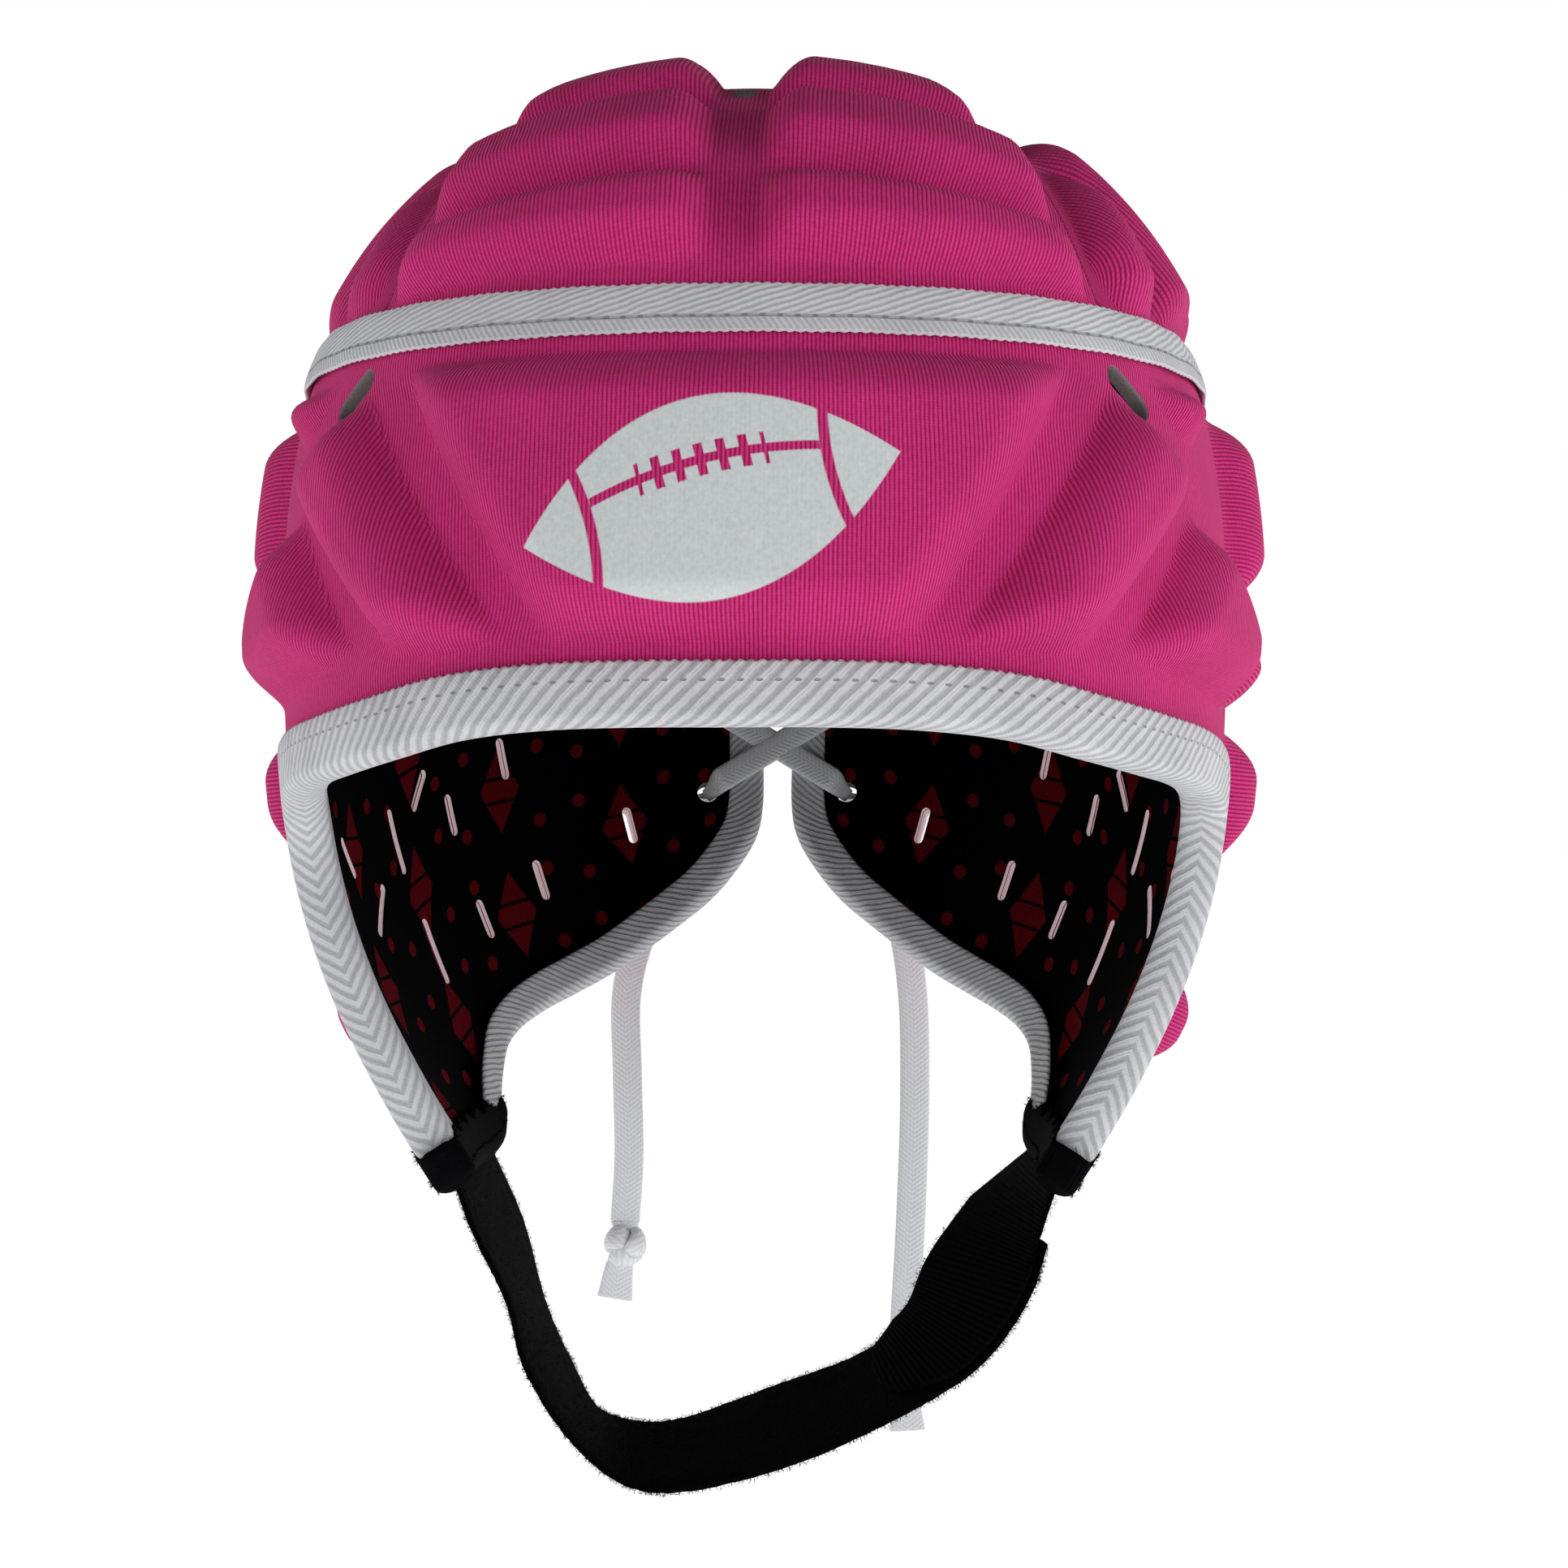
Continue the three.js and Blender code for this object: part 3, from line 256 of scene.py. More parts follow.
def on_crown(across, along, offset):
    """Point of the crown's flat pattern, whose distance from the apex counts sections."""
    return on_cap(np.arctan2(across, -along), np.hypot(across, along), offset)


def blurred(values, sigma, axis):
    """Values averaged along one axis with a bell curve of sigma steps, held level past the ends."""
    reach = int(3 * sigma) + 1
    steps = np.arange(-reach, reach + 1)
    weights = np.exp(-0.5 * (steps / sigma)**2)
    weights /= weights.sum()
    width = [(0, 0)] * values.ndim
    width[axis] = (reach, reach)
    padded = np.pad(values, width, mode="edge")
    size = values.shape[axis]
    total = 0
    for k, weight in enumerate(weights):
        total = total + weight * np.take(padded, np.arange(k, k + size), axis=axis)
    return total


EDGE_ANGLES = np.linspace(0, 180, 1441)
FACE_LINE = blurred(np.interp(EDGE_ANGLES, *FACE_EDGE.T), 8, 0)
NECK_LINE = blurred(np.interp(EDGE_ANGLES, *NECK_EDGE.T), 12, 0)


def face_drop(degrees):
    """Drop of the face opening's edge, with its corners rounded."""
    return np.interp(np.abs(degrees), EDGE_ANGLES, FACE_LINE)


def neck_drop(degrees):
    """Drop of the lower edge, with its corners rounded."""
    return np.interp(np.abs(degrees), EDGE_ANGLES, NECK_LINE)


def curve(points, shares):
    """Centripetal Catmull-Rom curve through points, at shares of its run of points."""
    points = np.asarray(points, float)
    ends = np.vstack([2 * points[0] - points[1], points, 2 * points[-1] - points[-2]])
    knots = np.concatenate([[0], np.cumsum(np.linalg.norm(np.diff(ends, axis=0), axis=1)**0.5)])
    place = np.asarray(shares) * (len(points) - 1)
    i = np.clip(place.astype(int), 0, len(points) - 2)
    k0, k1, k2, k3 = (knots[i + k][:, None] for k in range(4))
    p0, p1, p2, p3 = (ends[i + k] for k in range(4))
    x = k1 + (place - i)[:, None] * (k2 - k1)

    def between(a, b, ka, kb):
        return (kb - x) / (kb - ka) * a + (x - ka) / (kb - ka) * b

    a1, a2, a3 = between(p0, p1, k0, k1), between(p1, p2, k1, k2), between(p2, p3, k2, k3)
    return between(between(a1, a2, k0, k2), between(a2, a3, k1, k3), k1, k2)


def smooth_line(points, count):
    """The curve through points, at count places evenly spaced by length."""
    return evenly(curve(points, np.linspace(0, 1, 40 * len(points))), count)


def evenly(line, count):
    """A line of points read again at count places evenly spaced by length."""
    run = lengths(line)
    places = np.linspace(0, run[-1], count)
    return np.stack([np.interp(places, run, line[:, k]) for k in range(line.shape[1])], 1)


def lengths(line):
    """Length run along a line of points, from 0 at its first."""
    return np.concatenate([[0], np.cumsum(np.linalg.norm(np.diff(line, axis=0), axis=-1))])


# Meshes

def put(name, points, faces, looks, maps=()):
    """Mesh of points and of face arrays, one for each number of corners, with its UV maps."""
    mesh = bpy.data.meshes.new(name)
    corners = np.concatenate([f.ravel() for f in faces])
    counts = np.concatenate([np.full(len(f), f.shape[1]) for f in faces])
    mesh.vertices.add(len(points))
    mesh.vertices.foreach_set("co", np.ascontiguousarray(points, np.float32).ravel())
    mesh.loops.add(len(corners))
    mesh.loops.foreach_set("vertex_index", corners.astype(np.int32))
    mesh.polygons.add(len(counts))
    starts = np.concatenate([[0], np.cumsum(counts)[:-1]])
    mesh.polygons.foreach_set("loop_start", starts.astype(np.int32))
    for map_name, values in maps:
        layer = mesh.uv_layers.new(name=map_name)
        layer.data.foreach_set("uv", np.ascontiguousarray(values[corners], np.float32).ravel())
    for look in looks:
        mesh.materials.append(look)
    mesh.update(calc_edges=True)
    mesh.validate()
    mesh.shade_smooth()
    piece = bpy.data.objects.new(name, mesh)
    bpy.context.scene.collection.objects.link(piece)
    return piece


def outwards(points, faces):
    """The faces of a closed surface, all turned round if the volume inside them comes out negative."""
    total = 0.0
    for face in faces:
        a = points[face[:, 0]]
        for k in range(1, face.shape[1] - 1):
            total += np.einsum("ij,ij->", a, np.cross(points[face[:, k]], points[face[:, k + 1]]))
    return faces if total > 0 else [face[:, ::-1] for face in faces]


def grid_quads(rows, cols, around=False):
    """Faces between neighbouring points of a grid, closed round its columns if asked."""
    i = np.arange(rows - 1)[:, None] * cols
    j = np.arange(cols if around else cols - 1)[None, :]
    k = (j + 1) % cols
    return np.stack([i + j, i + k, i + cols + k, i + cols + j], -1).reshape(-1, 4)


def shell(name, outer, inner, looks, threads):
    """Closed wall between two grids of one size: both faces, and a strip round their rim."""
    rows, cols = outer.shape[:2]
    points = np.concatenate([outer.reshape(-1, 3), inner.reshape(-1, 3)])
    front = grid_quads(rows, cols)
    back = front[:, ::-1] + rows * cols
    index = np.arange(rows * cols).reshape(rows, cols)
    rim = np.concatenate([index[0], index[1:, -1], index[-1, -2::-1], index[-2:0:-1, 0]])
    after = np.roll(rim, -1)
    strip = np.stack([after, rim, rim + rows * cols, after + rows * cols], -1)
    faces = outwards(points, [np.concatenate([front, back, strip])])
    return put(name, points, faces, looks, [("cloth", np.tile(threads.reshape(-1, 2), (2, 1)))])


def oval(sides, wide_power, thin_power):
    """Across and up of a unit oval's points: a circle's, each to a power, which makes it squarer under 1."""
    turn = np.linspace(0, TAU, sides, endpoint=False)
    return [np.sign(wave(turn)) * np.abs(wave(turn))**power
            for wave, power in ((np.cos, wide_power), (np.sin, thin_power))]


def on_threads(along, across):
    """Cloth coordinates of a grid from those of its rows and of its columns."""
    return np.stack(np.broadcast_arrays(along, across), -1)


def sleeve(name, rings, looks, values=None, looped=False):
    """Closed tube through rings of points, with flat ends, or joined to its own start."""
    rows, cols = rings.shape[:2]
    points = rings.reshape(-1, 3)
    quads = grid_quads(rows, cols, True)
    last, j = (rows - 1) * cols, np.arange(cols)
    if looped:
        k = (j + 1) % cols
        faces = [np.concatenate([quads, np.stack([last + j, last + k, k, j], -1)])]
    else:
        faces = [quads, np.stack([j[::-1], last + j])]
    faces = outwards(points, faces)
    if values is None:
        values = np.zeros((rows, cols, 2))
    return put(name, points, faces, looks, [("cloth", values.reshape(-1, 2))])


def joined(name, pieces):
    """One object that holds the meshes of several."""
    with bpy.context.temp_override(active_object=pieces[0], object=pieces[0], selected_objects=pieces,
                                   selected_editable_objects=pieces):
        bpy.ops.object.join()
    pieces[0].name = name
    return pieces[0]


def cut(piece, cutters):
    """The piece with the cutters taken out of it, and their material on the walls of the holes."""
    knife = joined(piece.name + "_knife", cutters)
    modifier = piece.modifiers.new("cut", "BOOLEAN")
    modifier.operation = "DIFFERENCE"
    modifier.solver = "MANIFOLD"
    modifier.material_mode = "TRANSFER"
    modifier.object = knife
    bpy.context.view_layer.update()
    graph = bpy.context.evaluated_depsgraph_get()
    mesh = bpy.data.meshes.new_from_object(piece.evaluated_get(graph))
    piece.modifiers.clear()
    old = piece.data
    piece.data = mesh
    bpy.data.meshes.remove(old)
    bpy.data.objects.remove(knife)
    return piece


def slot_cutter(place, ends, width, looks, turns=8):
    """Tube with round ends along a slot, or round a hole where both ends are one spot."""
    start, end = np.array(ends[0], float), np.array(ends[1], float)
    middle = (start + end) / 2
    step = 0.01
    scale = np.array([np.linalg.norm(place(*(middle + step * d), 0) - place(*middle, 0)) / step
                      for d in np.eye(2)])
    heading = math.atan2(*((end - start) * scale)[::-1])
    turn = np.linspace(-np.pi / 2, np.pi / 2, turns + 1)
    turn = heading + np.concatenate([turn, turn + np.pi])
    centre = np.where((np.arange(len(turn)) <= turns)[:, None], end, start)
    ring = centre + width / 2 * np.stack([np.cos(turn), np.sin(turn)], 1) / scale
    offsets = np.linspace(-0.004, 0.016, 9)[:, None]
    return sleeve("slot", place(ring[None, :, 0], ring[None, :, 1], offsets), looks)


# Shaders

def math_node(operation, reflected=False):
    """Method that adds the operation's Math node, with its values swapped for a reflected operator."""
    def method(self, *others):
        values = (*others, self) if reflected else (self, *others)
        return self.look.node("ShaderNodeMath", {"operation": operation}, dict(enumerate(values)))
    return method


class Value:
    """A socket in an expression: each operator adds its Math node to the look's tree."""

    def __init__(self, look, socket):
        self.look = look
        self.socket = socket

    __add__ = math_node("ADD")
    __radd__ = math_node("ADD", reflected=True)
    __sub__ = math_node("SUBTRACT")
    __rsub__ = math_node("SUBTRACT", reflected=True)
    __mul__ = math_node("MULTIPLY")
    __rmul__ = math_node("MULTIPLY", reflected=True)
    __truediv__ = math_node("DIVIDE")
    __pow__ = math_node("POWER")
    __abs__ = math_node("ABSOLUTE")
    sine = math_node("SINE")
    # What is left over a whole number
    part = math_node("FRACT")
    floor = math_node("FLOOR")
    most = math_node("MAXIMUM")


class Nodes:
    """A node tree that expressions are added to."""

    def __init__(self, tree):
        self.tree = tree

    def node(self, kind, settings=None, inputs=None, output=0):
        """Add a node: its settings first, then its sockets' values or links."""
        node = self.tree.nodes.new(kind)
        for key, value in (settings or {}).items():
            setattr(node, key, value)
        for key, value in (inputs or {}).items():
            self.feed(node.inputs[key], value)
        return Value(self, node.outputs[output])

    def feed(self, socket, value):
        """Link a value to a socket, or set it there."""
        if isinstance(value, Value):
            self.tree.links.new(value.socket, socket)
        else:
            socket.default_value = value

    def step(self, value, low, high):
        """Smooth step from 0 at low to 1 at high."""
        return self.node("ShaderNodeMapRange", {"interpolation_type": "SMOOTHSTEP"},
                         {0: value, 1: low, 2: high, 3: 0.0, 4: 1.0})


class Look(Nodes):
    """A material, and what its expressions need."""

    def __init__(self, name, **settings):
        self.material = bpy.data.materials.new(name)
        self.material.use_nodes = True
        super().__init__(self.material.node_tree)
        self.tree.nodes.clear()
        self.shader = self.tree.nodes.new("ShaderNodeBsdfPrincipled")
        output = self.tree.nodes.new("ShaderNodeOutputMaterial")
        self.tree.links.new(self.shader.outputs[0], output.inputs["Surface"])
        self.set(**settings)

    def set(self, **settings):
        """Feed the shader's sockets, named with underscores for spaces."""
        for key, value in settings.items():
            self.feed(self.shader.inputs[key.replace("_", " ")], value)

    def place(self, name="Object"):
        """The three parts of a coordinate."""
        where = self.node("ShaderNodeTexCoord", output=name)
        return [self.node("ShaderNodeSeparateXYZ", inputs={0: where}, output=k) for k in range(3)]

    def cloth(self):
        """The piece's own UV map, in metres across and along its threads."""
        where = self.node("ShaderNodeUVMap", {"uv_map": "cloth"})
        return [self.node("ShaderNodeSeparateXYZ", inputs={0: where}, output=k) for k in range(2)]

    def noise(self, scale, detail=2.0):
        """Noise about 0.5 on Object coordinates."""
        spot = self.node("ShaderNodeTexCoord", output="Object")
        return self.node("ShaderNodeTexNoise", inputs={"Vector": spot, "Scale": scale, "Detail": detail})

    def mix(self, factor, a, b):
        """Colour a where the factor is 0, b where it is 1."""
        settings = {"data_type": "RGBA"}
        return self.node("ShaderNodeMix", settings, {0: factor, 6: a, 7: b}, output=2)

    def bump(self, height, distance, strength):
        """Normal of a height between 0 and 1, which stands for the distance."""
        values = {"Height": height, "Distance": distance, "Strength": strength}
        return self.node("ShaderNodeBump", inputs=values)


def rgb(red, green, blue):
    """Linear colour of an sRGB one given in 0 to 255."""
    values = np.array([red, green, blue]) / 255
    linear = np.where(values <= 0.04045, values / 12.92, ((values + 0.055) / 1.055)**2.4)
    return (*(float(v) for v in linear), 1.0)


# Plain oval ball printed on the forehead: centre across and up, half length and half height, lean
BALL_X = -0.0027
BALL_Z = -0.085
BALL_LONG = 0.0315
BALL_HIGH = 0.0165
BALL_LEAN = math.radians(14)


def waves(value, pitch):
    """Wave from 0 to 1 that repeats at each pitch of a value."""
    return (value * (TAU / pitch)).sine() * 0.5 + 0.5


def ball_mask(look):
    """1 on the printed ball: a pointed oval, less its end seams, its long seam and its lacing."""
    x, _, z = look.place()
    dx, dz = x - BALL_X, z - BALL_Z
    along = (dx * math.cos(BALL_LEAN) + dz * math.sin(BALL_LEAN)) / BALL_LONG
    across = (dz * math.cos(BALL_LEAN) - dx * math.sin(BALL_LEAN)) / BALL_HIGH
    reach = 1 - along * along
    body = look.step(reach - abs(across), -0.012, 0.012)
    bands = look.step(abs(abs(along) - 0.63 - 0.1 * across * across), 0.022, 0.034)
    bow = across - 0.38 * reach
    seam = look.step(abs(bow), 0.035, 0.055).most(look.step(abs(along), 0.6, 0.62))
    rung = look.step(abs((along / 0.115 + 0.5).part() - 0.5), 0.17, 0.24)
    laces = rung.most(look.step(abs(bow), 0.15, 0.17)).most(look.step(abs(along), 0.34, 0.345))
    return body * bands * seam * laces


def knit_look(name, pitch, printed=False):
    """Pink rib knit: rounded ribs along the cloth's second direction, with small stitches on them."""
    look = Look(name)
    u, v = look.cloth()
    broad = look.noise(55.0, 3.0)
    fine = look.noise(1300.0, 1.0)
    across = u + (look.noise(220.0, 1.0) - 0.5) * (0.25 * pitch)
    ribs = waves(across, pitch)**0.6
    stitches = (v * (TAU / (0.7 * pitch)) + (u * (TAU / pitch)).sine() * 1.3).sine() * 0.5 + 0.5
    height = ribs * 0.82 + stitches * ribs * 0.18
    # The colour is darker where the ribs and stitches are low: painted shade in their valleys. The noise
    # adds random tone.
    shade = height * 0.85 + (broad - 0.5) * 0.3 + (fine - 0.5) * 0.3
    color = look.mix(shade, rgb(146, 14, 70), rgb(240, 60, 148))
    rough = 0.8 + (broad - 0.5) * 0.1
    if printed:
        mask = ball_mask(look)
        ink = look.mix(fine, rgb(192, 198, 198), rgb(222, 227, 227))
        color = look.mix(mask, color, ink)
        height = height * (1 - mask * 0.9) + mask * 0.7
        rough = rough * (1 - mask) + mask * 0.55
    normal = look.bump(height, 0.5 * pitch, 0.6)
    look.set(Base_Color=color, Roughness=rough, Normal=normal, Sheen_Weight=0.07, Sheen_Roughness=0.5,
             Sheen_Tint=(1.0, 0.6, 0.8, 1.0), Specular_IOR_Level=0.15)
    return look.material


def lining_look():
    """Near-black tricot with dark red lozenges and dots in a half-drop layout."""
    look = Look("lining_cloth")
    u, v = look.cloth()
    pitch_u, pitch_v = 0.034, 0.03
    column = (u / pitch_u).floor()
    shift = (column * 0.5).part()
    a = ((u / pitch_u).part() - 0.5) * pitch_u
    b = ((v / pitch_v + shift).part() - 0.5) * pitch_v
    lozenge = abs(a) / 0.0062 + abs(b) / 0.0105
    body = 1 - look.step(lozenge, 0.96, 1.0)
    split = look.step(abs(abs(b) - 0.0028), 0.0003, 0.0005)
    far_a = abs(a) - 0.0115
    far_b = abs(b) - 0.009
    dots = 1 - look.step((far_a * far_a + far_b * far_b)**0.5, 0.0016, 0.00175)
    mask = (body * split).most(dots)
    weave = (u * (TAU / 0.0007)).sine() * (v * (TAU / 0.0009)).sine() * 0.5 + 0.5
    fine = look.noise(700.0, 2.0)
    color = look.mix(mask * (0.75 + fine * 0.4), rgb(2, 2, 4), rgb(92, 8, 18))
    look.set(Base_Color=color, Roughness=0.95, Normal=look.bump(weave, 0.0001, 0.5), Specular_IOR_Level=0.04)
    return look.material


STITCH = 0.0031


def stitch_row(look, u, v, row):
    """1 at the holes of a row of stitches along the tape."""
    along = ((u / STITCH).part() - 0.5) * STITCH
    across = v - row
    spot = ((along * along) * 0.3 + (across * across) * 2.0)**0.5
    return 1 - look.step(spot, 0.0002, 0.0004)


def finish_tape(look, height, holes, tone):
    """Feed a tape's shader from the height of its weave and its stitch holes."""
    broad = look.noise(90.0, 3.0)
    fine = look.noise(1500.0, 2.0)
    # The dark end is the tape's tone darkened for painted shade: the colour is darker where the weave is
    # low, as painted shade in its grooves. The noise adds random tone.
    dark = rgb(*(int(c * 0.62) for c in tone))
    color = look.mix(height * 0.7 + (broad - 0.5) * 0.35 + fine * 0.3, dark, rgb(*tone))
    # Stitch holes painted grey: painted shade in the holes.
    color = look.mix(holes * 0.6, color, rgb(96, 96, 102))
    height = (height * 0.85 + fine * 0.15) * (1 - holes)
    look.set(Base_Color=color, Roughness=0.85, Normal=look.bump(height, 0.00045, 0.8), Sheen_Weight=0.05,
             Specular_IOR_Level=0.15)
    return look.material


def seam_tape_look():
    """Tape of the crown seam: cords that slant gently along its upper layer, and a finer lower band."""
    look = Look("crown_tape_cloth")
    u, v = look.cloth()
    wobble = (look.noise(260.0, 2.0) - 0.5) * 0.0007
    cords = (((v * 0.95 + u * 0.28 + wobble) * (TAU / 0.00098)).sine() * 0.27 + 0.68)**0.8
    weave = ((v * 0.6 - u * 0.8) * (TAU / 0.00095)).sine() * 0.25 + 0.6
    lower = look.step(v, 0.0013, 0.0015)
    height = cords * (1 - lower) + weave * lower
    crease = 1 - look.step(abs(v - 0.0014), 0.0001, 0.0004)
    edge = look.step(abs(v), 0.0034, 0.0037)
    # The crease lowers the height, which finish_tape also turns into darker colour: painted shade along the
    # crease, as well as a bump.
    height = (height * (1 - edge) + edge * 0.9) * (1 - crease * 0.8)
    return finish_tape(look, height, stitch_row(look, u, v, 0.0014), (224, 225, 229))


def hem_look(name, pitch, stitches, tone):
    """Folded hem tape: cords that slant away from the fold on both sides, so that they make chevrons."""
    look = Look(name)
    u, v = look.cloth()
    wobble = (look.noise(260.0, 2.0) - 0.5) * 0.0008
    slant = u * 0.7 + abs(v) * 0.71 + wobble
    cords = waves(slant, pitch)**0.6 * 0.75 + waves(slant, pitch / 3) * 0.15
    beads = (u * (TAU / 0.0008)).sine() * (v * (TAU / 0.0008)).sine() * 0.5 + 0.5
    return finish_tape(look, cords + beads * 0.15, stitch_row(look, u, v, stitches), tone)


def lace_look():
    """White flat braid: rows of small plaits along the lace."""
    look = Look("lace_braid")
    u, v = look.cloth()
    plaits = waves(u * 0.8 + abs(v) * 0.6, 0.0009)
    height = plaits * 0.7 + waves(v, 0.0008) * 0.3
    # Darker where the plaits are low: painted shade between them.
    color = look.mix(height, rgb(208, 210, 213), rgb(226, 228, 230))
    look.set(Base_Color=color, Roughness=0.8, Normal=look.bump(height, 0.00016, 0.6), Sheen_Weight=0.05,
             Specular_IOR_Level=0.15)
    return look.material


def web_look(name, pile):
    """Black webbing: brushed loop pile, or the smoother hook side with fine ribs across."""
    look = Look(name)
    u, v = look.cloth()
    fine = look.noise(1600.0, 2.0)
    broad = look.noise(160.0, 3.0)
    ribs = waves(u, 0.0011)
    height = fine * 0.55 + broad * 0.45 if pile else fine * 0.3 + broad * 0.3 + ribs * 0.4
    # Darker where the height is low: the noise gives random tone, and on the hook side the ribs add painted
    # shade between them.
    color = look.mix(height, rgb(0, 0, 1), rgb(15, 15, 17) if pile else rgb(10, 10, 12))
    look.set(Base_Color=color, Roughness=0.95, Normal=look.bump(height, 0.0007, 0.8),
             Specular_IOR_Level=0.04)
    return look.material


def foam_look():
    """Grey foam on the cut walls of the vents and eyelets."""
    look = Look("cut_foam")
    cells = look.noise(2200.0, 2.0)
    look.set(Base_Color=look.mix(cells, rgb(96, 86, 88), rgb(150, 140, 140)), Roughness=0.9,
             Normal=look.bump(cells, 0.0002, 0.5))
    return look.material


def glowing_slit_look():
    """Walls of the slits with a pale colour and a painted glow: emission that stands in for light coming
    through the foam round them.
    """
    look = Look("slit_walls_painted_glow")
    cells = look.noise(900.0, 2.0)
    look.set(Base_Color=look.mix(cells, rgb(150, 132, 136), rgb(196, 178, 182)), Roughness=0.9,
             Emission_Color=rgb(190, 168, 172), Emission_Strength=0.45)
    return look.material


BAND_KNIT = knit_look("band_knit", 0.0007, printed=True)
SIDE_KNIT = knit_look("side_knit", 0.0008)
CROWN_KNIT = knit_look("crown_knit", 0.00075)
CROWN_SIDE_KNIT = knit_look("crown_side_knit", 0.001)
LINING_CLOTH = lining_look()
CROWN_TAPE_CLOTH = seam_tape_look()
HEM_CLOTH = hem_look("hem_cloth", pitch=0.0021, stitches=-0.0105, tone=(226, 227, 231))
NECK_CLOTH = hem_look("neck_cloth", pitch=0.0014, stitches=-0.0092, tone=(218, 219, 223))
LACE_CLOTH = lace_look()
PILE = web_look("loop_pile", pile=True)
HOOKS = web_look("hook_webbing", pile=False)
FOAM = foam_look()
GLOWING_SLIT_WALLS = glowing_slit_look()


def finish_piece(piece, slot, *nodes):
    """Let a piece ride with the cap and stand for its nodes, whose imported parts it hides. slot is not
    used.
    """
    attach(piece, "root")
    if nodes:
        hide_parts(*nodes)
    return piece


# Camera, at the photograph's angle, distance and field
SENSOR = 0.036
PHOTO_SIZE = 1932
FOCAL_PIXELS = 3420
CAMERA_AZIMUTH = math.radians(2)
CAMERA_DISTANCE = 0.45
CAMERA_TARGET = Vector((0.009, -0.112, -0.131))

camera_data = bpy.data.cameras.new("camera")
camera_data.sensor_fit = "HORIZONTAL"
camera_data.sensor_width = SENSOR * 1000
camera_data.lens = SENSOR * 1000 * FOCAL_PIXELS / PHOTO_SIZE
camera = bpy.data.objects.new("camera", camera_data)
bpy.context.scene.collection.objects.link(camera)
away = Vector((math.sin(CAMERA_AZIMUTH), -math.cos(CAMERA_AZIMUTH), 0))
camera.location = CAMERA_TARGET + away * CAMERA_DISTANCE
camera.rotation_euler = (-away).to_track_quat("-Z", "Y").to_euler()
bpy.context.scene.camera = camera


# Laces

BACK_RADIUS = on_band(90.0, SEAM_DROP, 0.0)[0]
SLIT_ANGLE = 180 - math.degrees(math.asin(BACK_SLIT / 2 / BACK_RADIUS))
EYELET_ANGLE = SLIT_ANGLE - math.degrees(math.asin(EYELET_FROM_EDGE / BACK_RADIUS))
LACE_SEAT = 0.001
LACE_RINGS = 170
BAR_RINGS = 60
# A bar of the lacing: its width in the eyelets, what it gains between them, and the share of it that climbs
BAR_WIDTH = 0.0032
BAR_GAIN = 0.0028
BAR_CLIMB = 0.09
# What lifts one of two crossing bars off the other
BAR_LIFT = 0.00012
PANEL_MIDDLE = (PANEL_INSIDE + PANEL_OUTSIDE) / 2
LACE_OUTER = TAPE_OUTSIDE + LACE_SEAT + LACE_THICKNESS / 2
LACE_INNER = -INNER_LEG_GAP - TAPE - LACE_SEAT - LACE_THICKNESS / 2


def flat_tube(name, line, wide_way, width, thickness, looks, sides=18):
    """Flat oval carried along a line: wide_way is the direction of its width at each point."""
    run = lengths(line)
    tangent = unit(np.gradient(line, axis=0))
    wide = unit(wide_way - tangent * np.sum(wide_way * tangent, -1, keepdims=True))
    thin = np.cross(tangent, wide)
    x, y = oval(sides, 0.6, 0.8)
    x = x / 2 * np.broadcast_to(width, len(line))[:, None]
    y = y * thickness / 2
    rings = line[:, None] + wide[:, None] * x[..., None] + thin[:, None] * y[None, :, None]
    return sleeve(name, rings, looks, on_threads(run[:, None], x))


def lace_end(hand):
    """Free lace end down its way, and the knot under it: a trefoil of the same braid with a short tail."""
    sign = -1 if hand == "left" else 1
    start = on_band(sign * EYELET_ANGLE, EYELET_ROWS[3], LACE_OUTER + LACE_THICKNESS / 2)
    way = np.array(LACE_WAYS[hand]) * (1, 1, -LACE_DROP[hand])
    root = on_band(sign * EYELET_ANGLE, EYELET_ROWS[3], PANEL_MIDDLE)
    climb = root + (start - root) * 0.8 + (0, 0, 0.0006)
    line = smooth_line(np.vstack([root, climb, (start + way)[1:]]), LACE_RINGS)
    wide = np.tile([1.0, 0, 0], (len(line), 1))
    width = LACE_WIDTH * np.interp(lengths(line), [0, 0.003, 0.009], [0.45, 0.7, 1])
    end = flat_tube(f"lace_{hand}", line, wide, width, LACE_THICKNESS, [LACE_CLOTH])
    knot = lace_knot(hand, line[-1])
    finish_piece(end, "white_lace", f"lace_end_{hand}")
    finish_piece(knot, "white_lace", f"lace_knot_{hand}")


# Knot: half depth, half width and thickness of its braid, and its tail's way across, forward and down
KNOT_DEPTH = 0.0029
KNOT_BRAID = (0.003, 0.0016)
KNOT_POINTS = 120
TAIL_LEAN = {"left": -0.0024, "right": 0.001}
TAIL_DROP = 0.007
TAIL_FORWARD = 0.001


def braid_tab(name, points, shares):
    """Short flat run of the lace through points, with shares of its width at its start, third and end."""
    line = smooth_line(points, 24)
    widths = LACE_WIDTH * np.interp(np.linspace(0, 1, 24), [0, 0.35, 1], shares)
    return flat_tube(name, line, np.tile([1.0, 0, 0], (24, 1)), widths, LACE_THICKNESS, [LACE_CLOTH])


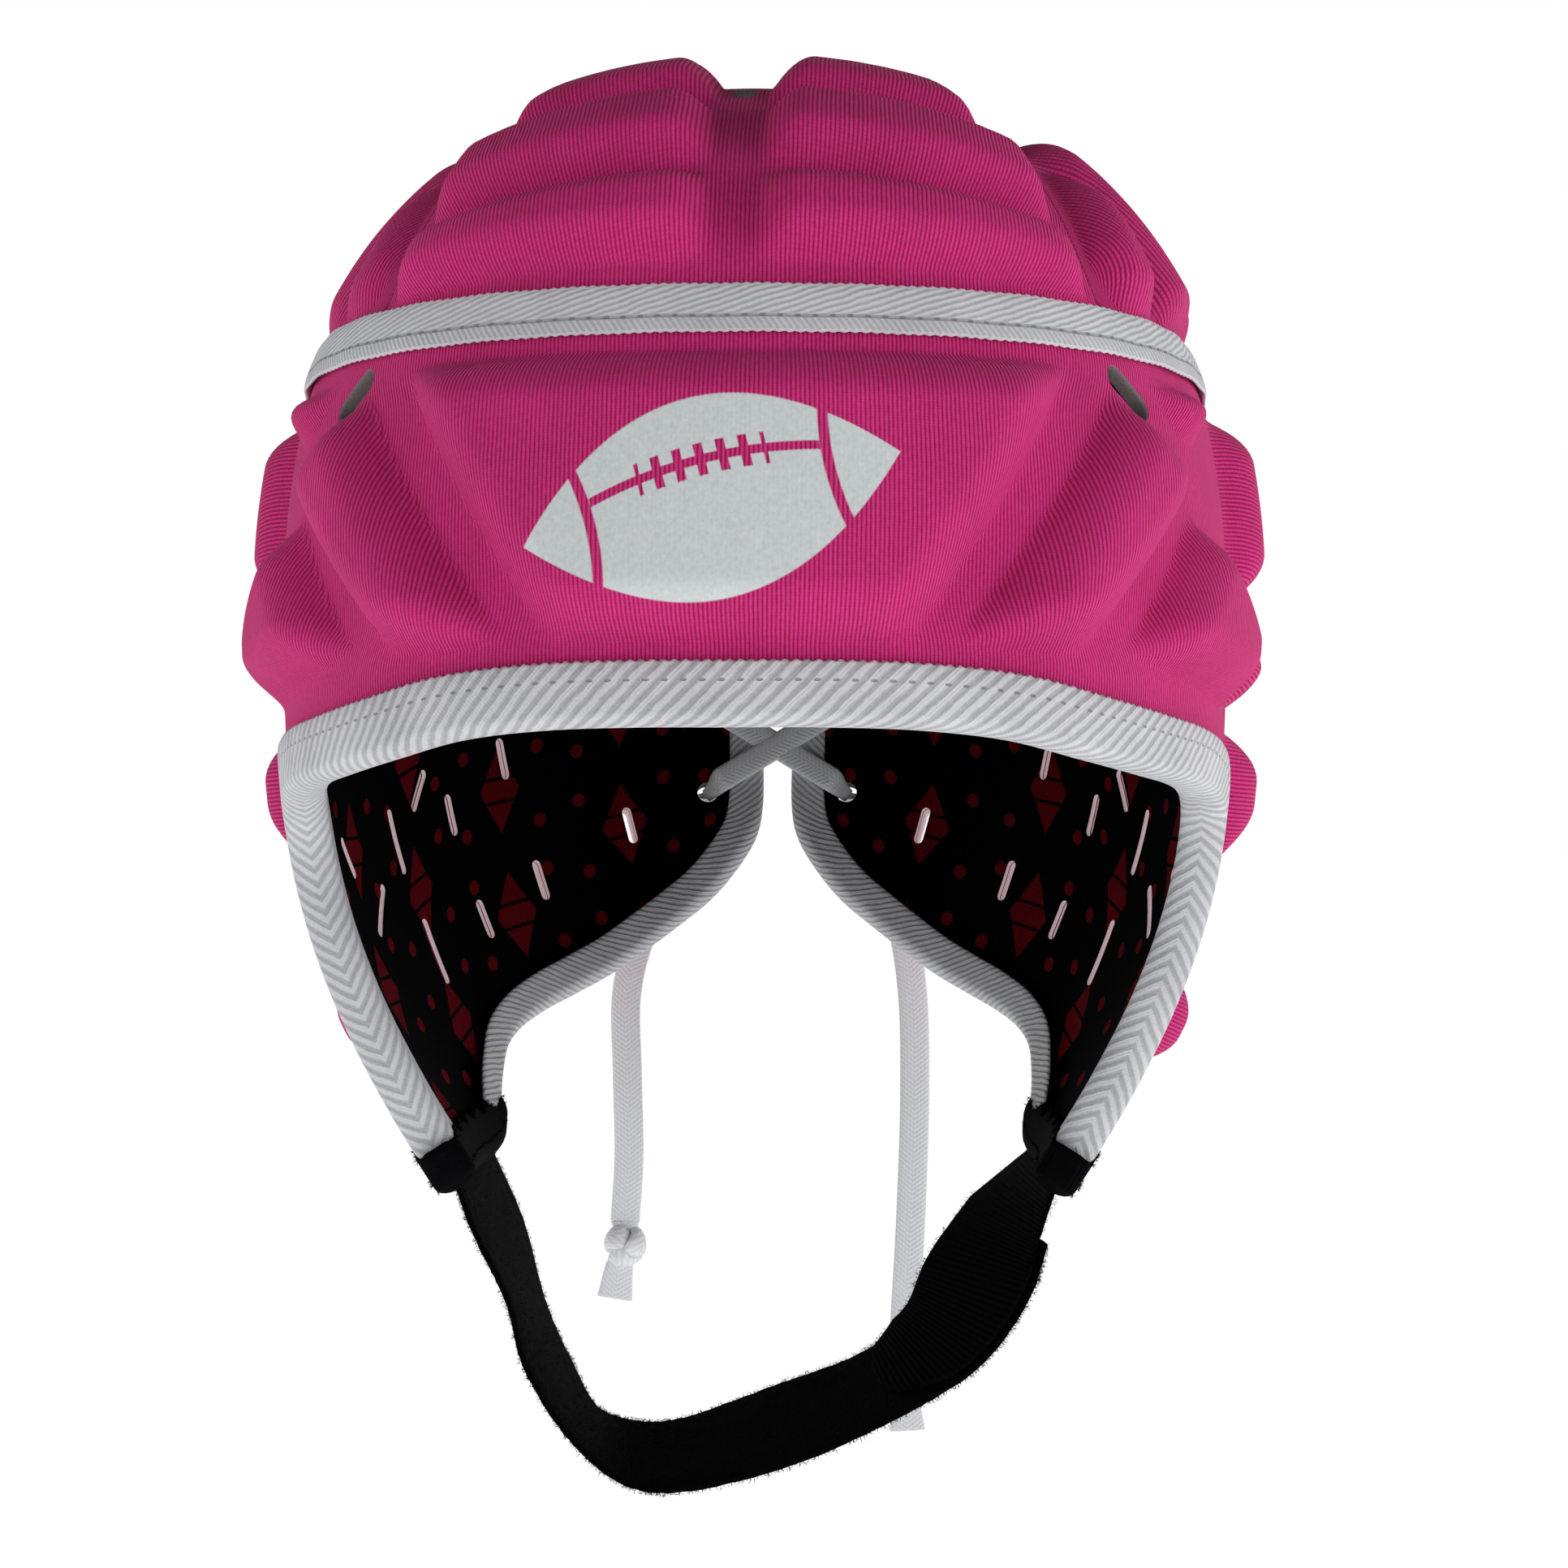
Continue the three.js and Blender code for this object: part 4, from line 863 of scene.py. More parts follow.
def lace_knot(hand, top):
    """Trefoil knot pulled tight: sin t + 2 sin 2t, cos t - 2 cos 2t and -sin 3t, scaled to its size."""
    t = np.linspace(0, TAU, KNOT_POINTS, endpoint=False)
    trefoil = np.stack([np.sin(t) + 2 * np.sin(2 * t), -np.sin(3 * t), np.cos(t) - 2 * np.cos(2 * t)], 1)
    size = np.array([KNOT_WIDTH / 2 - 0.0021, KNOT_DEPTH, KNOT_WIDTH / 2 - 0.0022]) / (2.8, 1, 2.9)
    line = trefoil * size + top + np.array([0, 0, -CLEARANCE - KNOT_WIDTH / 2])
    closed_line = np.vstack([line[-2:], line, line[:2]])
    tangent = unit(np.gradient(closed_line, axis=0))[2:-2]
    out = unit(line - (top + np.array([0, 0, -KNOT_WIDTH / 2])))
    wide = unit(np.cross(tangent, out))
    thin = np.cross(tangent, wide)
    turn = np.linspace(0, TAU, 14, endpoint=False)
    x, y = np.cos(turn) * KNOT_BRAID[0], np.sin(turn) * KNOT_BRAID[1]
    rings = line[:, None] + wide[:, None] * x[None, :, None] + thin[:, None] * y[None, :, None]
    values = on_threads(np.linspace(0, 0.03, KNOT_POINTS)[:, None], x[None, :])
    knot = sleeve("knot_wraps", rings, [LACE_CLOTH], values, looped=True)
    lean, foot = TAIL_LEAN[hand], top + np.array([0, 0, -CLEARANCE - KNOT_WIDTH])
    tail = braid_tab("knot_tail", [foot + (0, 0, 0.0045), foot + (0.5 * lean, -TAIL_FORWARD, 0.0008),
                                   foot + (lean, -TAIL_FORWARD, -TAIL_DROP)], [0.6, 0.95, 1.2])
    mouth = braid_tab("knot_mouth", [top + (0, 0, -0.00005), top + (0, 0, -0.0015), top + (0, 0, -0.005)],
                      [1, 0.8, 0.6])
    return joined(f"knot_{hand}", [knot, tail, mouth])


def lacing():
    """Lace through the eyelets: each bar climbs out of one, crosses the slit and dives into the next."""
    bars = []
    eyelet_x = BACK_RADIUS * math.sin(math.radians(180 - EYELET_ANGLE))
    crossings = [(0, 0, LACE_OUTER), (0, 1, LACE_INNER), (1, 2, LACE_OUTER), (2, 3, LACE_INNER)]
    for row, next_row, offset in crossings:
        for sign in (-1, 1) if row != next_row else (1,):
            f = np.linspace(0, 1, BAR_RINGS)
            x = sign * eyelet_x * (2 * f - 1)
            drop = EYELET_ROWS[row] + (EYELET_ROWS[next_row] - EYELET_ROWS[row]) * f
            degrees = 180 - np.degrees(np.arcsin(x / BACK_RADIUS))
            dip = np.clip(np.minimum(f, 1 - f) / BAR_CLIMB, 0, 1)
            dip = dip * dip * (3 - 2 * dip)
            lift = offset + sign * BAR_LIFT
            line = on_band(degrees, drop, PANEL_MIDDLE + (lift - PANEL_MIDDLE) * dip)
            flat = on_band(degrees, drop, lift)
            normal = unit(flat - on_band(degrees, drop, lift - 0.001))
            wide = np.cross(unit(np.gradient(flat, axis=0)), normal)
            width = BAR_WIDTH + BAR_GAIN * dip
            bars.append(flat_tube(f"bar_{row}", line, wide, width, LACE_THICKNESS, [LACE_CLOTH]))
    finish_piece(joined("lacing_braid", bars), "white_lace", "lacing")


lace_end("left")
lace_end("right")
lacing()


# Padded panels

PAD_SLOPE = 0.0095
CROWN_PAD_SLOPE = 0.007
CROWN_SIDE_PAD_SLOPE = 0.0085
PAD_EDGE_POWER = 1.9
# Distance over which the shift of the ribs is set against its average
GATHER_REACH = 0.018


def turned(corners, sign):
    """Places of the right half, or of the left one where the sign is negative."""
    return [(sign * a, d) for a, d in corners]


def pad_relief(u, v, place, pads, rise, slope=PAD_SLOPE):
    """Height of the pads at pattern places u, v: for each pad, the product over its edges of a rounded step
    1 - (1 - d / slope) ** power, where d is the distance inside that edge on the surface."""
    e = 0.01
    scale_u = np.linalg.norm(place(u + e, v, 0.0) - place(u - e, v, 0.0), axis=-1) / (2 * e)
    scale_v = np.linalg.norm(place(u, v + e, 0.0) - place(u, v - e, 0.0), axis=-1) / (2 * e)
    height = np.zeros(u.shape)
    for corners in pads:
        centre_u = sum(c[0] for c in corners) / len(corners)
        centre_v = sum(c[1] for c in corners) / len(corners)
        inside = np.ones(u.shape)
        for (u0, v0), (u1, v1) in zip(corners, corners[1:] + corners[:1]):
            ex, ey = (u1 - u0) * scale_u, (v1 - v0) * scale_v
            side = (u1 - u0) * (centre_v - v0) - (v1 - v0) * (centre_u - u0)
            d = ((u - u0) * scale_u * -ey + (v - v0) * scale_v * ex) / np.hypot(ex, ey) * np.sign(side)
            inside *= 1 - (1 - np.clip(d / slope, 0, 1))**PAD_EDGE_POWER
        height = np.maximum(height, rise * inside)
    return height


def cloth_map(base, dressed, spacing, ribs_across_columns, gather):
    """Cloth coordinates in metres: the length run across the ribs on the bare surface, with part of what
    climbing the pads adds, less its own average nearby, and the length run along them."""
    def run(grid, axis):
        step = np.linalg.norm(np.diff(grid, axis=axis), axis=-1)
        zero = np.zeros_like(np.take(step, [0], axis=axis))
        total = np.concatenate([zero, np.cumsum(step, axis=axis)], axis=axis)
        middle = np.take(total, [total.shape[axis] // 2], axis=axis)
        return total - middle
    axis = 1 if ribs_across_columns else 0
    plain = run(base, axis)
    extra = run(dressed, axis) - plain
    near = GATHER_REACH / spacing
    extra = extra - blurred(blurred(extra, near, 0), near, 1)
    extra = blurred(blurred(extra, 2.0, 0), 2.0, 1)
    across = plain + gather * extra
    along = run(base, 1 - axis)
    return np.stack([across, along], -1)


def panel(name, node, place, u, v, relief, look, cloth, cutters):
    """Foam panel: a closed wall from the inner offset to the outer one with its pads on. cloth is what its
    cloth map needs: the grid's spacing, whether its ribs cross the columns, and how far they gather."""
    outer = place(u, v, PANEL_OUTSIDE + relief)
    plain = place(u, v, PANEL_OUTSIDE)
    inner = place(u, v, PANEL_INSIDE)
    piece = shell(name, outer, inner, [look], cloth_map(plain, outer, *cloth))
    if cutters:
        cut(piece, cutters)
    finish_piece(piece, "pink_knit", node)


def lining_piece(name, node, place, u, v, cutters):
    """Lining: a closed wall 1 mm thick behind its panel, cut where the panel is."""
    outer = place(u, v, LINING)
    inner = place(u, v, 0.0)
    threads = cloth_map(inner, inner, LINING_SPACING, True, 0.0)
    piece = shell(name, outer, inner, [LINING_CLOTH], threads)
    if cutters:
        cut(piece, cutters)
    finish_piece(piece, "dark_lining", node)


BAND_RADIUS = 0.1
LINING_SPACING = 0.0025
SEAM_GAP = 0.0009
SEAM_SHARE = SEAM_GAP / 2 / CAP_DEPTH
SEAM_ANGLE_GAP = math.degrees(CLEARANCE / 2 / BACK_RADIUS)
BAND_SPACING = 0.00105
SIDE_SPACING = 0.001155
CROWN_SPACING = 0.001
CROWN_GRID = (115, 209)
CROWN_SIDE_GRID = (66, 166)
CROWN_LINING_GRID = (49, 97)
CROWN_SIDE_LINING_GRID = (20, 60)
# How far the ribs follow the climb over a pad
BAND_GATHER = 0.5
CENTRE_GATHER = 0.15
HALVINGS = 40
BOW_TURNS = 24


def band_grid(start, end, edge, spacing):
    """Pattern places of a band panel: columns of equal angle, rows from the crown seam to its edge."""
    cols = int(math.radians(abs(end - start)) * BAND_RADIUS / spacing) + 1
    angles = np.linspace(start, end, cols)
    top = SEAM_DROP + SEAM_SHARE
    depth = (edge(angles).max() - top) * CAP_DEPTH
    shares = np.linspace(0, 1, int(depth / spacing) + 1)[:, None]
    drops = top + (edge(angles)[None, :] - top) * shares
    return np.broadcast_to(angles, drops.shape).copy(), drops


def front_panel():
    """Forehead panel with its lining and two vents."""
    limit = FRONT_SEAM_ANGLE - SEAM_ANGLE_GAP
    pads = [FRONT_PADS[0]]
    for corners in FRONT_PADS[1:]:
        pads += [corners, turned(corners, -1)]

    def knives():
        return [slot_cutter(on_band, turned(FRONT_VENT, sign), VENT_WIDTH, [FOAM]) for sign in (-1, 1)]

    u, v = band_grid(-limit, limit, face_drop, BAND_SPACING)
    relief = pad_relief(u, v, on_band, pads, BAND_PAD_RISE)
    panel("forehead_padding", "front_panel", on_band, u, v, relief, BAND_KNIT,
          (BAND_SPACING, True, BAND_GATHER), knives())
    u, v = band_grid(-limit, limit, face_drop, LINING_SPACING)
    lining_piece("forehead_lining", "lining_front", on_band, u, v, knives())


def side_panel(sign, hand):
    """Side panel with its flap and lining, slits and eyelets."""
    start = FRONT_SEAM_ANGLE + SEAM_ANGLE_GAP
    pads = [turned(corners, sign) for corners in SIDE_PADS]

    def knives():
        slits = [turned(ends, sign) for ends in SIDE_SLITS]
        holes = [[(sign * EYELET_ANGLE, d)] * 2 for d in EYELET_ROWS]
        # The slits' walls glow with painted light, which stands for light coming through the foam.
        return ([slot_cutter(on_band, ends, SLIT_WIDTH, [GLOWING_SLIT_WALLS], 5) for ends in slits]
                + [slot_cutter(on_band, ends, EYELET, [FOAM], 9) for ends in holes])

    u, v = band_grid(sign * start, sign * SLIT_ANGLE, neck_drop, SIDE_SPACING)
    relief = pad_relief(u, v, on_band, pads, BAND_PAD_RISE)
    panel(f"side_padding_{hand}", f"side_panel_{hand}", on_band, u, v, relief, SIDE_KNIT,
          (SIDE_SPACING, False, BAND_GATHER), knives())
    u, v = band_grid(sign * start, sign * SLIT_ANGLE, neck_drop, LINING_SPACING)
    lining_piece(f"side_lining_{hand}", f"lining_{hand}", on_band, u, v, knives())


CROWN_RIM = float(ring_at(SEAM_DROP - SEAM_SHARE))


def centre_width(along):
    """Half width of the crown's centre panel, which flares towards both ends."""
    return CENTRE_HALF_WIDTH + CENTRE_FLARE * (np.abs(along) / CENTRE_FLARE_AT)**CENTRE_FLARE_POWER


def centre_reach(i):
    """How far along the line i across the centre panel meets the rim, found by halving."""
    low, high = np.zeros(np.shape(i)), np.full(np.shape(i), CROWN_RIM)
    for _ in range(HALVINGS):
        middle = (low + high) / 2
        under = np.hypot(i * centre_width(middle), middle) < CROWN_RIM
        low, high = np.where(under, middle, low), np.where(under, high, middle)
    return low


CROWN_CORNER = float(centre_reach(1.0))
CORNER_ANGLE = 90 - math.degrees(math.atan2(centre_width(CROWN_CORNER), CROWN_CORNER))
SECTION_RUN = float(np.linalg.norm(on_crown(2.0, 0.0, 0.0) - on_crown(1.0, 0.0, 0.0)))


def crown_centre():
    """Crown's centre panel: two columns of pads either side of a groove, and its lining."""
    edge = 1 - CLEARANCE / 2 / SECTION_RUN / CENTRE_HALF_WIDTH

    def grid(cols, rows):
        i, j = np.meshgrid(np.linspace(-edge, edge, cols), np.linspace(-1, 1, rows))
        along = j * centre_reach(i)
        return i * centre_width(along), along

    def outer(along, margin):
        """How far across a row's bowed line comes within a margin of the panel's side, step by step."""
        across = CENTRE_HALF_WIDTH
        for _ in range(BOW_TURNS):
            across = (across + centre_width(along * (1 - (across / ROW_BOW)**2)) - margin) / 2
        return across

    pads = []
    for near, far, margin in CROWN_PAD_ROWS:
        corners = [(GROOVE_HALF_WIDTH, near), (outer(near, margin), near),
                   (outer(far, margin), far), (GROOVE_HALF_WIDTH, far)]
        pads += [[(hand * a, end * b) for a, b in corners] for hand in (-1, 1) for end in (-1, 1)]

    def knives():
        vents = [[(a, end * b) for a, b in CROWN_VENT] for end in (-1, 1)]
        return [slot_cutter(on_crown, ends, VENT_WIDTH, [FOAM]) for ends in vents]

    u, v = grid(*CROWN_GRID)
    relief = pad_relief(u, v / (1 - (u / ROW_BOW)**2), on_crown, pads, CROWN_PAD_RISE, CROWN_PAD_SLOPE)
    panel("crown_padding", "crown_centre", on_crown, u, v, relief, CROWN_KNIT,
          (CROWN_SPACING, True, CENTRE_GATHER), knives())
    u, v = grid(*CROWN_LINING_GRID)
    lining_piece("crown_lining", "lining_crown_centre", on_crown, u, v, knives())


def crown_side(sign, hand):
    """Padded side of the crown between the centre panel and the tape, and its lining."""
    seam = CLEARANCE / SECTION_RUN / 2

    def grid(cols, rows):
        return np.meshgrid(np.linspace(0, 1, cols), np.linspace(-CROWN_SIDE_END, CROWN_SIDE_END, rows))

    def ends(j, margin, ring):
        """Where a line across the side starts and ends: across and along at the seam, and at the ring."""
        along = j * CROWN_CORNER
        angle = np.radians(90 + j * CORNER_ANGLE)
        return centre_width(along) + margin, along, ring * np.sin(angle), -ring * np.cos(angle)

    def place_side(s, j, offset, margin, ring):
        first, along, last, far = ends(j, margin, ring)
        return on_crown(sign * (first + (last - first) * s), along + (far - along) * s, offset)

    def panel_place(s, j, offset):
        return place_side(s, j, offset, seam, CROWN_RIM)

    def padded_place(s, j, offset):
        return place_side(s, j, offset, SIDE_PAD_MARGIN, SIDE_PAD_RIM)

    pads = [[(0, a), (1, c), (1, d), (0, b)] for a, b, c, d in CROWN_SIDE_PADS]
    s, j = grid(*CROWN_SIDE_GRID)
    first, _, last, _ = ends(j, 0, CROWN_RIM)
    pad_first, _, pad_last, _ = ends(j, SIDE_PAD_MARGIN, SIDE_PAD_RIM)
    pad_s = (first + (last - first) * s - pad_first) / (pad_last - pad_first)
    relief = pad_relief(pad_s, j, padded_place, pads, CROWN_SIDE_RISE[hand], CROWN_SIDE_PAD_SLOPE)
    panel(f"crown_side_padding_{hand}", f"crown_side_{hand}", panel_place, s, j, relief, CROWN_SIDE_KNIT,
          (CROWN_SPACING, False, 0.0), [])
    s, j = grid(*CROWN_SIDE_LINING_GRID)
    lining_piece(f"crown_side_lining_{hand}", f"lining_crown_{hand}", panel_place, s, j, [])


front_panel()
crown_centre()
for side_sign, side_name in ((-1, "left"), (1, "right")):
    side_panel(side_sign, side_name)
    crown_side(side_sign, side_name)


# Tapes

TAPE_RINGS = 1200
FACE_HEM_RINGS = 1000
NECK_HEM_RINGS = 490
# How far the face hem's ends run down under the webbing, as a share of the depth
FACE_HEM_TUCK = 0.011
# Scallops of a tape's edge: pitch, and how far they reach as a share of the width or in metres
TAPE_SCALLOP = (0.0019, 0.035)
HEM_SCALLOP = (0.0018, 0.00018)
# Long low waves of the crown tape
TAPE_WAVE = (0.017, 0.00012)
# Fold of a tape: where it starts inside the edge, how far it bulges out, and the bevel of the legs' ends
FOLD_START = 0.0008
FOLD_BULGE = 0.0025
TAPE_CORNER = 0.0003


def crown_tape():
    """Tape round the crown seam: a flat oval of twill that follows the seam, with a scalloped edge."""
    degrees = np.linspace(180, 540, TAPE_RINGS, endpoint=False)
    half = CROWN_TAPE_WIDTH / 2
    x, y = oval(24, 0.55, 0.9)
    x, y = x * half, y * TAPE / 2
    radius = np.linalg.norm(on_band(degrees, SEAM_DROP, 0.0)[:, :2], axis=1)
    run = np.radians(degrees) * radius.mean()
    pitch, reach = TAPE_SCALLOP
    scallop = 1 + reach * np.sin(run * TAU / pitch)[:, None] * (np.abs(x) > 0.9 * half)
    drop = SEAM_DROP + x[None, :] * scallop / CAP_DEPTH
    pitch, reach = TAPE_WAVE
    offset = (TAPE_INSIDE + TAPE_OUTSIDE) / 2 + y[None, :] + reach * np.sin(run * TAU / pitch)[:, None]
    rings = on_band(degrees[:, None], drop, offset)
    values = on_threads(run[:, None], x[None, :])
    piece = sleeve("crown_binding", rings, [CROWN_TAPE_CLOTH], values, looped=True)
    finish_piece(piece, "white_tape", "crown_tape")


def folded_tape(name, spots, inside, leg, count, look):
    """Tape folded over an edge: its profile runs up the outer leg, round the fold and up the inner leg, and
    back again one thickness further in. spots are the edge's angles and drops."""
    line = smooth_line(np.array(spots) * (1, 100), count) / (1, 100)
    degrees, drops = line.T
    step_u = on_band(degrees + 0.5, drops, 0.0) - on_band(degrees - 0.5, drops, 0.0)
    step_v = on_band(degrees, drops + 0.005, 0.0) - on_band(degrees, drops - 0.005, 0.0)
    scale_u, scale_v = np.linalg.norm(step_u, axis=-1), np.linalg.norm(step_v, axis=-1) / 0.01
    way = np.stack([np.gradient(degrees) * scale_u, np.gradient(drops) * scale_v], 1)
    way = unit(np.stack([blurred(way[:, 0], 6, 0), blurred(way[:, 1], 6, 0)], 1))
    high, low = TAPE_OUTSIDE, -INNER_LEG_GAP - TAPE
    middle, half = (high + low) / 2, (high - low) / 2
    bend = np.linspace(0, np.pi, 15)
    fold_depth = FOLD_START - FOLD_BULGE * np.sin(bend)
    depth = np.concatenate([[leg, leg - 0.0004, leg * 0.66, leg * 0.33], fold_depth,
                            [leg * 0.33, leg * 0.66, leg - 0.0014, leg - 0.001]])
    offset = np.concatenate([[high - TAPE_CORNER, high, high, high], middle + half * np.cos(bend),
                             [low, low, low, low + TAPE_CORNER]])
    tangent = unit(np.gradient(np.stack([depth, offset], 1), axis=0))
    inner_depth = depth + tangent[:, 1] * -TAPE * 0.8
    inner_offset = offset + tangent[:, 0] * TAPE * 0.8
    profile_depth = np.concatenate([depth, inner_depth[::-1]])
    profile_offset = np.concatenate([offset, inner_offset[::-1]])
    across = np.concatenate([lengths(np.stack([depth, offset], 1))] * 2)
    across[len(depth):] = across[:len(depth)][::-1]
    fold = across[:len(depth)][len(depth) // 2]
    run = lengths(on_band(degrees, drops, high))
    scallop = np.zeros((count, len(profile_depth)))
    scallop[:, 0] = scallop[:, -1] = HEM_SCALLOP[1] * np.sin(run * TAU / HEM_SCALLOP[0])
    deep = profile_depth[None, :] + scallop
    angle = degrees[:, None] - deep * inside * way[:, 1:2] / scale_u[:, None]
    drop = drops[:, None] + deep * inside * way[:, 0:1] / scale_v[:, None]
    rings = on_band(angle, drop, profile_offset)
    return sleeve(name, rings, [look], on_threads(run[:, None], (across - fold)[None, :]))


HEM_END_DROP = NECK_EDGE[0, 1] - (STRAP_FOLD + 0.0015) / CAP_DEPTH
REAR_EDGE = NECK_EDGE[:0:-1]
FLAP_REAR_ANGLE = float(np.interp(HEM_END_DROP, REAR_EDGE[:, 1], REAR_EDGE[:, 0]))


def face_hem():
    """Hem of the face opening, up one flap, along the forehead and down the other."""
    start = FRONT_SEAM_ANGLE + SEAM_ANGLE_GAP
    flank = [(start, d) for d in np.linspace(HEM_END_DROP + FACE_HEM_TUCK, 0.705, 6)]
    top = [(a, face_drop(a)) for a in (75.2, 73.5, 70, 65, 58, 50, 40, 30, 20, 10)]
    half = flank + top
    spots = half + [(0, face_drop(0))] + turned(half[::-1], -1)
    piece = folded_tape("face_binding", spots, 1, FACE_HEM_WIDTH, FACE_HEM_RINGS, HEM_CLOTH)
    finish_piece(piece, "white_tape", "face_hem")


def neck_hem(sign, hand):
    """Hem of the lower edge on one side, from the flap round and up the slit."""
    angles = (FLAP_REAR_ANGLE - 2, 120, 125, 131, 138, 145, 152, 158, 164, 169, 173, SLIT_ANGLE - 0.8)
    around = [(a, neck_drop(a)) for a in angles]
    top = SEAM_DROP + (CROWN_TAPE_WIDTH / 2 + CLEARANCE) / CAP_DEPTH
    up = [(SLIT_ANGLE, d) for d in np.linspace(neck_drop(SLIT_ANGLE) - 0.02, top, 6)]
    spots = turned(around + up, sign)
    piece = folded_tape(f"neck_binding_{hand}", spots, -sign, NECK_HEM_WIDTH, NECK_HEM_RINGS, NECK_CLOTH)
    finish_piece(piece, "white_tape", f"neck_hem_{hand}")


crown_tape()
face_hem()
neck_hem(-1, "left")
neck_hem(1, "right")


# Chin strap and hook tab

STRAP_ROWS = 360
TAB_ROWS = 150
STRAP_HAIRS = 8000
TAB_HAIRS = 1200
# Hairs of the pile: half width at the root, least and most length, and the share that stand along an edge
HAIR = 0.00007
HAIR_LENGTHS = (0.0005, 0.0013)
EDGE_SHARE = 0.55
# Webbing folded over a flap: degrees past the seam and the rear, columns, clearance from the tape, clearance
# and bulge of its foot, least height, and the waves of its upper edge: height and turns with the angle
FOLD_PAST = (2.3, 1.6)
FOLD_COLUMNS = 64
FOLD_CLEAR = 0.0003
FOLD_FOOT = 0.0007
FOLD_DIP = 0.0022
FOLD_LEAST = 0.0015
FOLD_WAVES = ((0.0008, 0.9), (0.0003, 4.3))
# Hairs round a fold: columns of its rings that they stand between, count and seed
FOLD_HAIRS = [(0, -1, 400, 11), (7, -8, 400, 18), (0, 9, 300, 21), (-1, 6, 300, 22)]


def fold_corners(sign):
    """The two corners of a flap's fold, from which the webbing hangs."""
    under = (CLEARANCE + TAPE / 2) / CAP_DEPTH
    return [on_band(sign * a, np.interp(a, *NECK_EDGE.T) + under, PANEL_OUTSIDE / 2) for a in FOLD_ANGLES]


def strap_edges():
    """Front and back edge points of the strap's free run, from the left flap to short of the right one."""
    front, back = fold_corners(-1)
    half, middle = -front[0], (front[1] + back[1]) / 2
    size = np.array([half, STRAP_WIDTH, -STRAP_DROP])
    place = np.array([0, middle, front[2]])
    fronts = [front] + [place + size * row[[0, 2, 1]] for row in STRAP_STATIONS]
    backs = [back] + [place + size * row[[3, 5, 4]] for row in STRAP_STATIONS]
    return np.array(fronts), np.array(backs)


def webbing(name, front, back, lift, thickness, look, rough, seed):
    """Webbing between two edge lines: rounded along its edges, its pile uneven by the roughness."""
    rng = np.random.default_rng(seed)
    run_way = np.gradient(front, axis=0) + np.gradient(back, axis=0)
    normal = unit(np.cross(run_way, back - front))
    turn = np.linspace(0, np.pi, 27)
    across = 0.5 - 0.5 * np.sign(np.cos(turn)) * np.abs(np.cos(turn))**0.75
    high = np.sin(turn)**0.35 / 2
    share = np.concatenate([across, across[-2:0:-1]])
    height = np.concatenate([high, -high[-2:0:-1]]) * thickness
    bumps = blurred(rng.normal(0, rough, (len(front), len(share))), 0.8, 0)
    rings = (front[:, None] + (back - front)[:, None] * share[None, :, None]
             + normal[:, None] * (lift + height[None, :] + bumps)[..., None])
    along = lengths((front + back) / 2)
    width = np.linalg.norm(back - front, axis=-1).mean()
    return sleeve(name, rings, [look], on_threads(along[:, None], (share * width)[None, :]))


def pile_fibres(name, front, back, lift, thickness, count, look, seed):
    """Short curved hairs of the loop pile: slender cones, half of them along the two edges."""
    rng = np.random.default_rng(seed)
    i = rng.integers(2, len(front) - 2, count)
    at_edge = rng.random(count) < EDGE_SHARE
    share = np.where(at_edge, np.round(rng.random(count)), rng.random(count))
    side = np.where(rng.random(count) < 0.5, -1.0, 1.0)
    width_way = unit(back - front)
    run_way = unit(np.gradient(front, axis=0) + np.gradient(back, axis=0))
    normal = np.cross(run_way, width_way)
    outward = width_way[i] * np.where(share > 0.5, 1.0, -1.0)[:, None]
    root = front[i] + (back - front)[i] * share[:, None]
    root = root + normal[i] * (lift + np.where(at_edge, rng.uniform(-0.4, 0.4, count), side * 0.48)
                               * thickness)[:, None]
    way = np.where(at_edge[:, None], outward, normal[i] * side[:, None])
    way = unit(way + rng.normal(0, 0.5, (count, 3)))
    bend = rng.normal(0, 0.5, (count, 3))
    size = rng.uniform(*HAIR_LENGTHS, count)[:, None] * np.where(at_edge, 1.0, 0.55)[:, None]
    a = unit(np.cross(way, run_way[i] + 0.01))
    b = np.cross(way, a)
    corners = [a, -0.5 * a + 0.87 * b, -0.5 * a - 0.87 * b]
    middle = root + way * size * 0.55
    tip = root + unit(way + bend) * size
    rows = [root + c * HAIR for c in corners] + [middle + c * HAIR * 0.8 for c in corners] + [tip]
    points = np.stack(rows, 1).reshape(-1, 3)
    start = np.arange(count)[:, None] * 7
    quads = np.concatenate([start + q for q in ([0, 1, 4, 3], [1, 2, 5, 4], [2, 0, 3, 5])])
    triangles = np.concatenate([start + t for t in ([3, 4, 6], [4, 5, 6], [5, 3, 6], [2, 1, 0])])
    return put(name, points, [quads, triangles], [look], [("cloth", np.zeros((len(points), 2)))])


